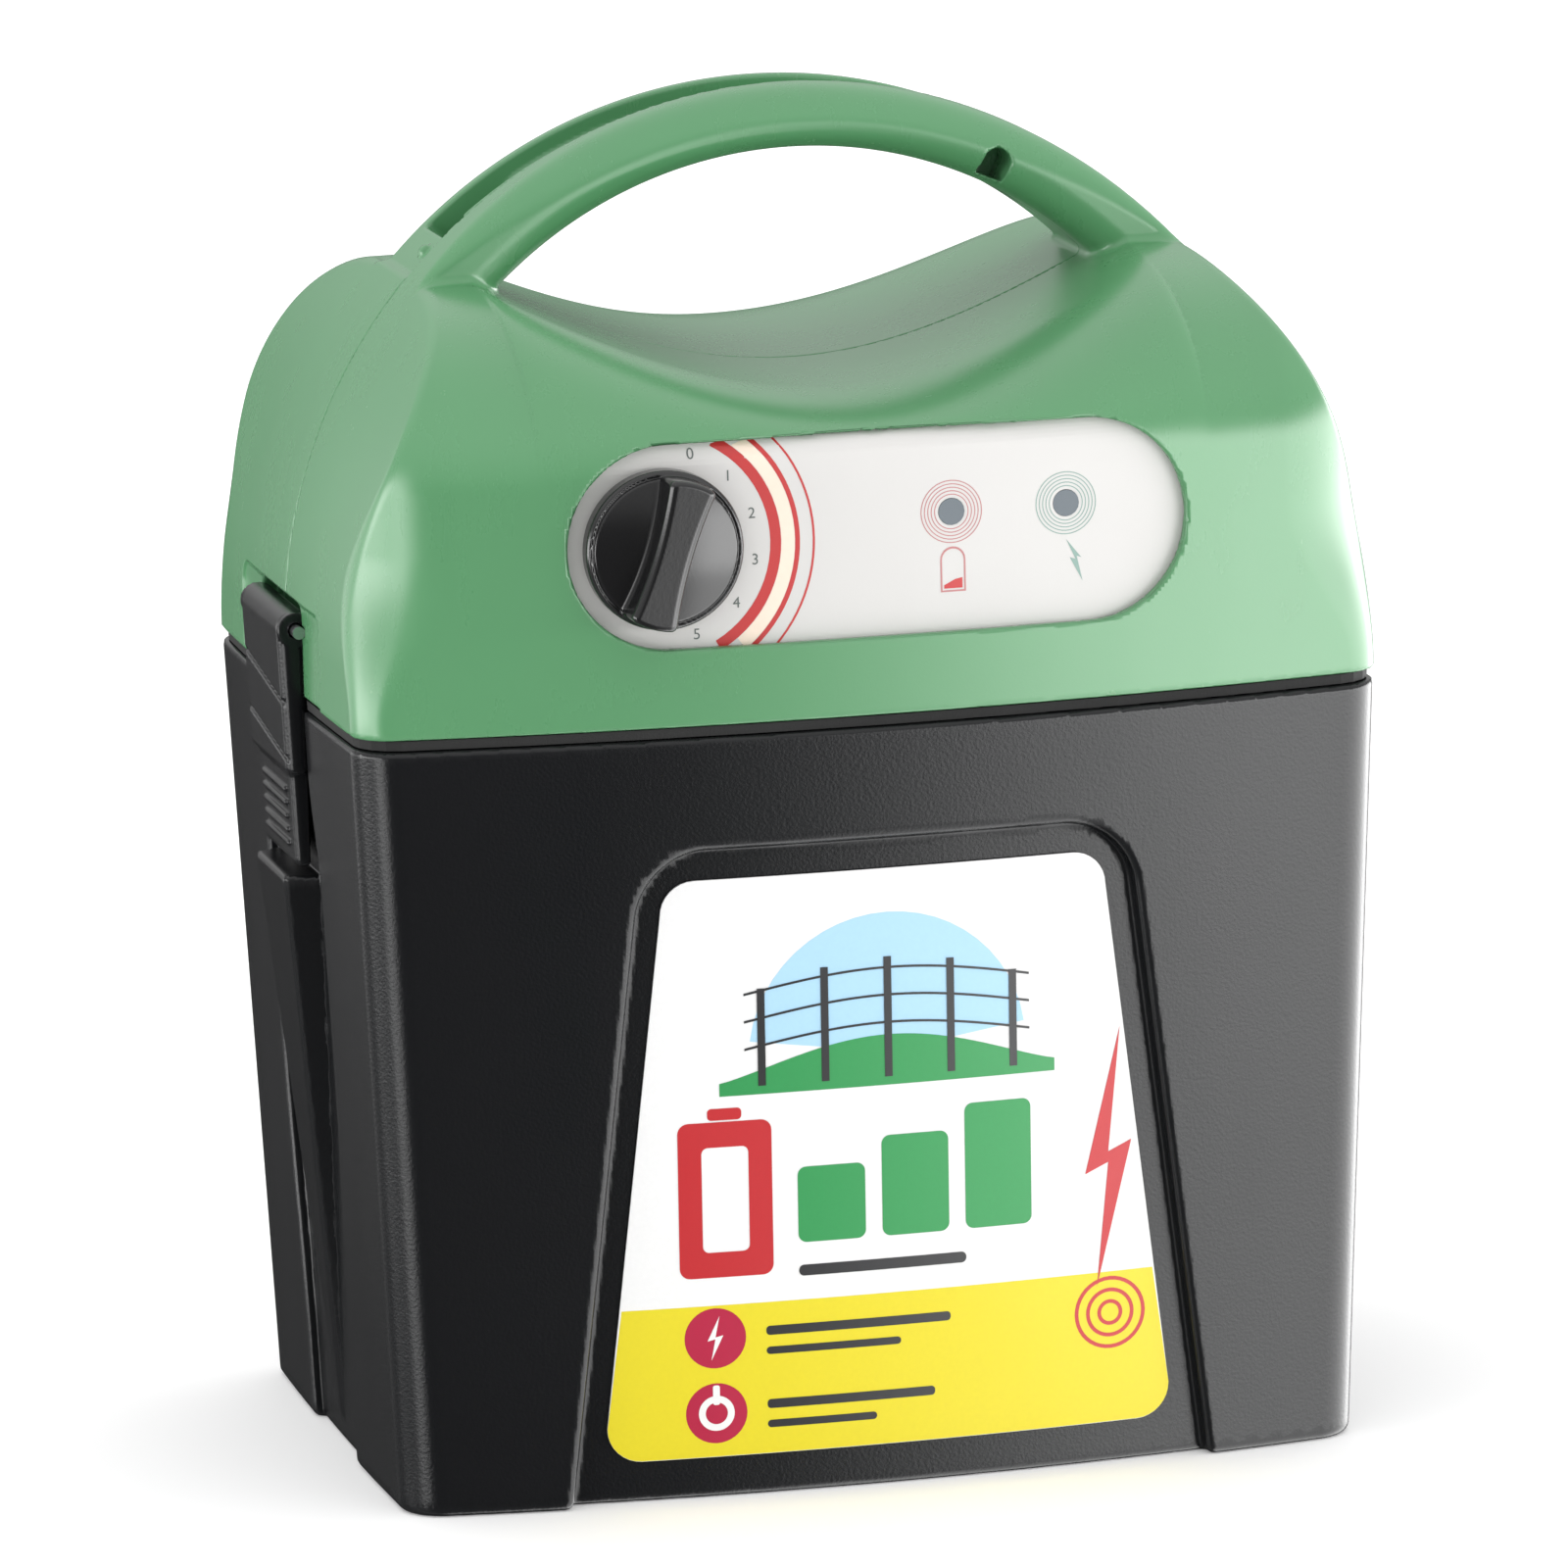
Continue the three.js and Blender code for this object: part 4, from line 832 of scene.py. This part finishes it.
def build_knobs():
    reach = KNOB_RADIUS + 2
    moulding(
        "dial_knob", knob_field, (KNOB_X - reach, -104, PANEL_Z - reach),
        (KNOB_X + reach, -69, PANEL_Z + reach), CELL_KNOB, "knob", "gloss_black", ["knob"],
    )
    back = float(front_depth(STUD_X))
    for name, mirror, slot in (
        ("earth_terminal_knob", False, "black_plastic"),
        ("fence_terminal_knob", True, "red_plastic"),
    ):
        moulding(
            name + "_grip", terminal_field, (STUD_X - 11, back, STUD_Z - 11),
            (STUD_X + 11, back + 12, STUD_Z + 11), CELL_KNOB, name, slot, [name], mirror,
        )


# ---------- flat pieces that follow the bowed front ----------


def panel_y(x, z):
    """The panel follows the head's front, which draws back above the shoulder's start."""
    top, start, half = deck(x)
    rise = max(z - start, 0) / (top - start)
    return PANEL_INSET - half - (front_depth(x) - half) * math.sqrt(1 - rise**2)


def label_y(x, z):
    """The label lies on the recess, a label's thickness in front of it."""
    share = z / BOX_TOP
    half_x = BASE_HALF_X + (TOP_HALF_X - BASE_HALF_X) * share
    half_y = BASE_HALF_Y + (TOP_HALF_Y - BASE_HALF_Y) * share
    bow = BOW_FRONT * (1 - (x / half_x) ** 2)
    return RECESS_DEPTH - LABEL_THICK - half_y - bow


def flat_mesh(outlines):
    """A filled flat mesh of closed outlines in (x, z). An outline inside another is a hole."""
    curve = bpy.data.curves.new("outline", "CURVE")
    curve.dimensions = "2D"
    curve.fill_mode = "BOTH"
    for outline in outlines:
        spline = curve.splines.new("POLY")
        spline.points.add(len(outline) - 1)
        for point, (u, v) in zip(spline.points, outline):
            point.co = (u, v, 0, 1)
        spline.use_cyclic_u = True
    return filled(curve)


def digit_mesh(text, u, v, size):
    curve = bpy.data.curves.new("digit", "FONT")
    curve.body = text
    curve.size = size
    curve.align_x, curve.align_y = "CENTER", "CENTER"
    mesh = filled(curve)
    mesh.transform(Matrix.Translation((u, v, 0)))
    return mesh


def filled(curve):
    holder = bpy.data.objects.new("holder", curve)
    bpy.context.scene.collection.objects.link(holder)
    mesh = bpy.data.meshes.new_from_object(holder)
    bpy.data.objects.remove(holder)
    bpy.data.curves.remove(curve)
    return mesh


def sheet(name, flats, depth, lift, thickness, body, slot, material=None, replaces=()):
    """Flat meshes bent onto the bowed front as one thin closed piece, lift in front of it."""
    b = bmesh.new()
    for flat in flats:
        b.from_mesh(flat)
        bpy.data.meshes.remove(flat)
    bmesh.ops.remove_doubles(b, verts=b.verts, dist=0.005)
    for axis, step in enumerate(SHEET_STEPS):
        start, end = (pick(v.co[axis] for v in b.verts) for pick in (min, max))
        normal = Vector((1 - axis, axis, 0))
        for place in np.arange(math.ceil(start / step) * step, end, step):
            bmesh.ops.bisect_plane(
                b, geom=[*b.verts, *b.edges, *b.faces], plane_co=normal * place, plane_no=normal
            )
    bmesh.ops.triangulate(b, faces=b.faces)
    front = list(b.faces)
    for face in front:
        if face.normal.z < 0:
            face.normal_flip()
    grown = bmesh.ops.extrude_face_region(b, geom=front, use_keep_orig=True)["geom"]
    back = {v for v in grown if isinstance(v, bmesh.types.BMVert)}
    for vert in b.verts:
        x, z = vert.co.x, vert.co.y
        y = float(depth(x, z)) - lift + (thickness if vert in back else 0)
        vert.co = Vector((x, y, z)) * MM
    bmesh.ops.recalc_face_normals(b, faces=b.faces)
    mesh = bpy.data.meshes.new(name)
    b.to_mesh(mesh)
    b.free()
    return finish_piece(mesh, name, body, slot, material, replaces)


def arc(cx, cz, radius, start, end, steps=24):
    angles = [math.radians(start + (end - start) * i / steps) for i in range(steps + 1)]
    return [(cx + radius * math.cos(a), cz + radius * math.sin(a)) for a in angles]


def circle(cx, cz, radius, steps=40):
    return arc(cx, cz, radius, 0, 360 - 360 / steps, steps - 1)


def sector(cx, cz, inner, outer, start, end):
    return arc(cx, cz, outer, start, end) + arc(cx, cz, inner, end, start)


def rounded(x0, x1, z0, z1, radius, steps=6):
    corners = ((x1, z0, -90), (x1, z1, 0), (x0, z1, 90), (x0, z0, 180))
    points = []
    for x, z, start in corners:
        cx = x - radius if x == x1 else x + radius
        cz = z - radius if z == z1 else z + radius
        points += arc(cx, cz, radius, start, start + 90, steps)
    return points


def label_half(z):
    share = (z - LABEL_BOTTOM) / (LABEL_TOP - LABEL_BOTTOM)
    return LABEL_HALF_BOTTOM + (LABEL_HALF_TOP - LABEL_HALF_BOTTOM) * share


def label_outline(bottom, top, lower, upper):
    """The label's trapezoid between two heights, with its lower and upper corner radii."""
    right = [(label_half(bottom), bottom)]
    if lower:
        right = arc(label_half(bottom) - lower, bottom + lower, lower, -90, 0, 8)
    if upper:
        right += arc(label_half(top) - upper, top - upper, upper, 0, 90, 8)
    else:
        right += [(label_half(top), top)]
    return right + [(-x, z) for x, z in right[::-1]]


def zigzag(cx, cz, size, width=1.0):
    """A plain lightning bolt about size high."""
    shape = ((0.12, 0.5), (-0.22, -0.06), (0.0, -0.02), (-0.12, -0.5), (0.22, 0.06), (0.0, 0.02))
    return [(cx + width * size * u, cz + size * v) for u, v in shape]


def printing_on(depth, body, slot):
    """A function that prints shapes in ink on one of the bowed surfaces."""

    def ink(name, shapes, color, lift=INK_LIFT):
        single = [isinstance(shape[0][0], (int, float)) for shape in shapes]
        flats = [flat_mesh([shape] if one else shape) for shape, one in zip(shapes, single)]
        sheet(name, flats, depth, lift, INK_THICK, body, slot, INK_MATERIALS[color])

    return ink


def ring(x, z, outer, inner):
    return [circle(x, z, outer), circle(x, z, inner)]


def build_panel():
    """The white plate behind the panel's opening."""
    middle = PANEL_HALF - PANEL_RADIUS
    reach = PANEL_RADIUS + 0.5
    outline = arc(middle, PANEL_Z, reach, -90, 90, 40)
    outline += arc(-middle, PANEL_Z, reach, 90, 270, 40)
    holes = [circle(KNOB_X, PANEL_Z, SHAFT_HOLE_RADIUS)]
    holes += [circle(x, LED_Z, LED_HOLE_RADIUS) for x in LED_X]
    plate = flat_mesh([outline] + holes)
    sheet(
        "panel_plate", [plate], panel_y, 0, PANEL_THICK, "head", "white_plastic", None,
        ["control_panel"],
    )


def print_dial():
    """Bands round the dial that end at the panel's edge, and the numbers."""
    ink = printing_on(panel_y, "head", "white_plastic")

    def band(inner, outer):
        end = math.degrees(math.asin((PANEL_RADIUS + 1.1) / outer))
        return sector(KNOB_X, PANEL_Z, inner, outer, -end, end)

    ink("dial_band_red", [band(*radii) for radii in DIAL_BANDS_RED], "arc_red")
    ink("dial_band_cream", [band(*DIAL_BAND_CREAM)], "cream", 0.05)
    digits = []
    for value, angle in enumerate(DIGIT_ANGLES):
        turn = math.radians(angle)
        u, v = KNOB_X + DIGIT_RING_X * math.cos(turn), PANEL_Z + DIGIT_RING_Z * math.sin(turn)
        digits.append(digit_mesh(str(value), u, v, DIGIT_SIZE))
    sheet(
        "dial_numbers", digits, panel_y, INK_LIFT, INK_THICK, "head", "white_plastic",
        INK_MATERIALS["grey"],
    )


def print_lamp_marks():
    """Rings round the lamps, and a battery and a bolt under them."""
    ink = printing_on(panel_y, "head", "white_plastic")
    for name, x, color in (("battery", LED_X[0], "pink"), ("fence", LED_X[1], "sage")):
        radii = [LAMP_RING_START + LAMP_RING_STEP * i for i in range(LAMP_RINGS)]
        rings = [ring(x, LED_Z, radius + LAMP_RING_LINE, radius) for radius in radii]
        ink("led_rings_" + name, rings, color)
    middle, bottom, top, half, line = 17.1, 211, 218.5, 3, 0.4
    marks = []
    for inset in (0, line):
        side, low, high = half - inset, bottom + inset, top - inset / 4
        marks.append(
            [(middle - side, low)] + arc(middle, high, side, 180, 0, 12) + [(middle + side, low)]
        )
    ink("battery_mark", [marks], "pink")
    level = [(14.9, 211.8), (19.3, 211.8), (19.3, 214.2), (17.6, 213.9), (14.9, 212.6)]
    ink("battery_mark_level", [level], "arc_red")
    bolt = [
        (44.4, 221.2), (46.6, 216.4), (45.2, 216.9), (48.2, 211.2), (46.9, 217.1), (48.0, 216.7),
    ]
    ink("fence_mark", [bolt], "sage")


def build_label():
    """The blank label and the field of colour along its foot."""
    base = flat_mesh([label_outline(LABEL_BOTTOM, LABEL_TOP, LABEL_CORNER, LABEL_CORNER)])
    sheet(
        "label_sheet", [base], label_y, 0, 0.5, "box", "printed_label", INK_MATERIALS["white"],
        ["label"],
    )
    ink = printing_on(label_y, "box", "printed_label")
    field = label_outline(LABEL_BOTTOM + 0.1, FIELD_TOP, LABEL_CORNER - 0.1, 0)
    ink("label_lower_field", [field], "yellow")


def print_fence_scene():
    """A fence on a hill in front of a round sky."""
    ink = printing_on(label_y, "box", "printed_label")
    ink("label_sky", [sector(0, 104, 0.1, 33, 8, 172)], "sky")
    half, foot, rise = 40, 99, 9
    ridge = [
        (2 * i - half, foot + rise * math.sin(math.pi * i / half) ** 1.2) for i in range(half + 1)
    ]
    hill = [(-half, foot)] + ridge + [(half, foot - 3), (-half, foot - 3)]
    ink("label_hill", [hill], "green", LIFT_LOW)
    posts = [
        [(x - 0.9, 98), (x + 0.9, 98), (x + 0.9, top), (x - 0.9, top)]
        for x, top in ((-30, 121), (-15, 125), (0, 126.5), (15, 125), (30, 121))
    ]
    ink("label_posts", posts, "dark", LIFT_HIGH)
    wires = []
    for level in (107, 113.5, 120):
        upper = [(-34 + 2 * i, level + 4.2 * math.sin(math.pi * i / 34)) for i in range(35)]
        wires.append(upper + [(u, v - 0.55) for u, v in upper[::-1]])
    ink("label_wires", wires, "dark", LIFT_MIDDLE)


def print_symbols():
    """A bolt with rings, a battery with three bars, two roundels and plain bars for words."""
    ink = printing_on(label_y, "box", "printed_label")
    ink("label_bolt", [zigzag(53, 74, 62, 0.42)], "red", LIFT_LOW)
    pulses = [ring(53, 36.5, radius + 0.9, radius) for radius in (2.2, 5.0, 7.8)]
    ink("label_pulses", pulses, "red", LIFT_LOW)
    case = [rounded(-50, -28, 53, 90, 2.5), rounded(-44.5, -33.5, 59, 84, 1.5)]
    post = rounded(-43, -35, 90.4, 93.2, 1)
    ink("label_cell", [case, post], "red", LIFT_LOW)
    bars = [rounded(-22 + 20 * i, -6 + 20 * i, 60, 78 + 6 * i, 2) for i in range(3)]
    ink("label_bars", bars, "green", LIFT_LOW)
    ink("label_rule", [rounded(-22, 18, 52, 54.6, 1.2)], "dark", LIFT_LOW)
    x, (upper, lower) = ROUNDEL_X, ROUNDEL_Z
    ink("label_roundels", [circle(x, z, ROUNDEL_RADIUS) for z in ROUNDEL_Z], "crimson", LIFT_LOW)
    switch = [ring(x, lower, 4.2, 2.6), rounded(x - 0.8, x + 0.8, lower + 2, lower + 6.7, 0.5)]
    ink("label_roundel_marks", [zigzag(x, upper, 10.5, 0.8)] + switch, "white", LIFT_MIDDLE)
    rules = [
        rounded(-30, end, bottom, top, 0.9)
        for end, bottom, top in ((14, 38.4, 40.6), (2, 33.8, 35.6), (10, 20.8, 23), (-4, 16.2, 18))
    ]
    ink("label_rules", rules, "dark", LIFT_LOW)


# ---------- battery and its leads ----------


def spline_through(points, steps=8):
    """A smooth line through points, leaving and reaching each one at an even speed."""
    knots = [2 * points[0] - points[1], *points, 2 * points[-1] - points[-2]]
    line = []
    for a, b, c, d in zip(knots, knots[1:], knots[2:], knots[3:]):
        times = [0.0]
        for p, q in ((a, b), (b, c), (c, d)):
            times.append(times[-1] + (q - p).length ** 0.5)
        t0, t1, t2, t3 = times
        for i in range(steps):
            t = t1 + (t2 - t1) * i / steps
            ab = a.lerp(b, (t - t0) / (t1 - t0))
            bc = b.lerp(c, (t - t1) / (t2 - t1))
            cd = c.lerp(d, (t - t2) / (t3 - t2))
            abc = ab.lerp(bc, (t - t0) / (t2 - t0))
            bcd = bc.lerp(cd, (t - t1) / (t3 - t1))
            line.append(abc.lerp(bcd, (t - t1) / (t2 - t1)))
    return line + [points[-1]]


def build_leads():
    for name, side, slot in (("plus", 1, "red_plastic"), ("minus", -1, "black_rubber")):
        line = spline_through([Vector((side * x, y, z)) * MM for x, y, z in LEAD_ROUTE])
        curve = bpy.data.curves.new("lead_" + name, "CURVE")
        curve.dimensions = "3D"
        curve.bevel_depth = LEAD_RADIUS * MM
        curve.bevel_resolution = 6
        curve.use_fill_caps = True
        spline = curve.splines.new("POLY")
        spline.points.add(len(line) - 1)
        for point, place in zip(spline.points, line):
            point.co = (*place, 1)
        piece = finish_piece(
            curve, "lead_" + name, "head", slot, None, ["battery_lead_" + name]
        )


def build_battery():
    """Case and lid with round edges, parted by a groove."""
    low, high = (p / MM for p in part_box("battery_block"))
    joint = high.z - LID_HEIGHT
    b = bmesh.new()
    for bottom, top, inset in (
        (low.z, joint - 1.2, 1),
        (joint - 1.4, joint, 2.2),
        (joint - 0.2, high.z, 0),
    ):
        made = bmesh.ops.create_cube(b, size=1)["verts"]
        size = (high.x - low.x - 2 * inset, high.y - low.y - 2 * inset, top - bottom)
        middle = Vector((0, 0, (bottom + top) / 2))
        for vert in made:
            vert.co = Vector(c * s for c, s in zip(vert.co, size)) + middle
        edges = {e for v in made for e in v.link_edges}
        bmesh.ops.bevel(
            b, geom=list(edges), offset=min(2.4, (top - bottom) / 2.5), segments=4, profile=0.5,
            affect="EDGES",
        )
    bmesh.ops.transform(b, matrix=Matrix.Scale(MM, 4), verts=b.verts)
    mesh = bpy.data.meshes.new("battery")
    b.to_mesh(mesh)
    b.free()
    for face in mesh.polygons:
        face.use_smooth = True
    piece = finish_piece(mesh, "battery", "box", "battery_case", None, ["battery_block"])
    piece.modifiers.new("normals", "WEIGHTED_NORMAL")


# ---------- studio ----------


def build_studio():
    """A plain pale floor that stays out of the reflections."""
    b = bmesh.new()
    bmesh.ops.create_grid(b, x_segments=1, y_segments=1, size=FLOOR_SIZE)
    mesh = bpy.data.meshes.new("floor")
    b.to_mesh(mesh)
    b.free()
    floor = bpy.data.objects.new("floor", mesh)
    bpy.context.scene.collection.objects.link(floor)
    n = Nodes("floor")
    n.link(n.mix(n.noise(3, 3), (0.93, 0.93, 0.93, 1), (0.96, 0.96, 0.96, 1)), "Base Color")
    n.shader.inputs["Roughness"].default_value = 0.9
    n.shader.inputs["Specular IOR Level"].default_value = 0.0
    n.shader.inputs["Emission Color"].default_value = (1, 1, 1, 1)
    n.shader.inputs["Emission Strength"].default_value = FLOOR_GLOW
    mesh.materials.append(n.material)
    floor.visible_glossy = False


def build_world():
    """Soft surroundings: a pale sky, and low glows that only show as reflections."""
    world = bpy.data.worlds.new("studio")
    bpy.context.scene.world = world
    world.use_nodes = True
    tree = world.node_tree
    nodes, links = tree.nodes, tree.links
    back = nodes["Background"]
    place = nodes.new("ShaderNodeTexCoord").outputs["Generated"]
    split = nodes.new("ShaderNodeSeparateXYZ")
    links.new(place, split.inputs[0])

    def math_node(kind, *values):
        node = nodes.new("ShaderNodeMath")
        node.operation = kind
        for i, value in enumerate(values):
            if isinstance(value, bpy.types.NodeSocket):
                links.new(value, node.inputs[i])
            else:
                node.inputs[i].default_value = value
        return node.outputs[0]

    def ramp(value, start, end, low, high):
        node = nodes.new("ShaderNodeMapRange")
        node.interpolation_type = "SMOOTHSTEP"
        links.new(value, node.inputs["Value"])
        settings = {"From Min": start, "From Max": end, "To Min": low, "To Max": high}
        for key, number in settings.items():
            node.inputs[key].default_value = number
        return node.outputs["Result"]

    forward = math_node("MULTIPLY", split.outputs[1], -1.0)
    azimuth = math_node("ARCTAN2", split.outputs[0], forward)
    degrees = math_node("MULTIPLY", azimuth, 180 / math.pi)
    height = split.outputs[2]

    def lobe(centre, half, soft, strength):
        away = math_node("ABSOLUTE", math_node("SUBTRACT", degrees, centre))
        return ramp(away, half, half + soft, strength, 0.0)

    left = math_node("ADD", lobe(*GLOW_CORNER), lobe(*GLOW_SIDE))
    left = math_node("MULTIPLY", left, ramp(height, *LEFT_RISE, 0.04, 1.0))
    strip = math_node("MULTIPLY", lobe(*GLOW_STRIP), ramp(height, *STRIP_RISE, 0.0, 1.0))
    strip = math_node("MULTIPLY", strip, ramp(height, *STRIP_FALL, 1.0, 0.0))
    left = math_node("ADD", left, strip)
    right = math_node("MULTIPLY", lobe(*GLOW_RIGHT), ramp(height, *RIGHT_RISE, 0.55, 1.0))
    low = math_node("ADD", math_node("ADD", left, right), LOW_BASE)
    low = math_node("MULTIPLY", low, ramp(height, *LOW_FALL, 1.0, 0.0))
    sky = ramp(height, *SKY_RISE, SKY_EDGE, SKY_TOP)
    sky = math_node("MULTIPLY", sky, ramp(height, *SKY_START, 0.0, 1.0))
    links.new(math_node("ADD", low, sky), back.inputs["Strength"])
    back.inputs["Color"].default_value = (1, 1, 1, 1)


# ---------- the object ----------


def dress_frame():
    """Every CAD node that is still shown gets the material of its slot."""
    for row in frame["record"]["subparts"]:
        node = frame["nodes"][row["node"]]
        node.data.materials.clear()
        node.data.materials.append(MATERIALS[row["material_slot"]])


add_camera()
build_leads()
dress_frame()
build_head()
moulding(
    "box_body", box_field, (-130, -96, -3), (130, 96, 193), CELL_BOX, "box", "black_plastic",
    ["battery_box"],
)
build_latches()
build_knobs()
build_panel()
print_dial()
print_lamp_marks()
build_label()
print_fence_scene()
print_symbols()
build_battery()
build_studio()
build_world()
bpy.context.scene.view_settings.view_transform = "Standard"
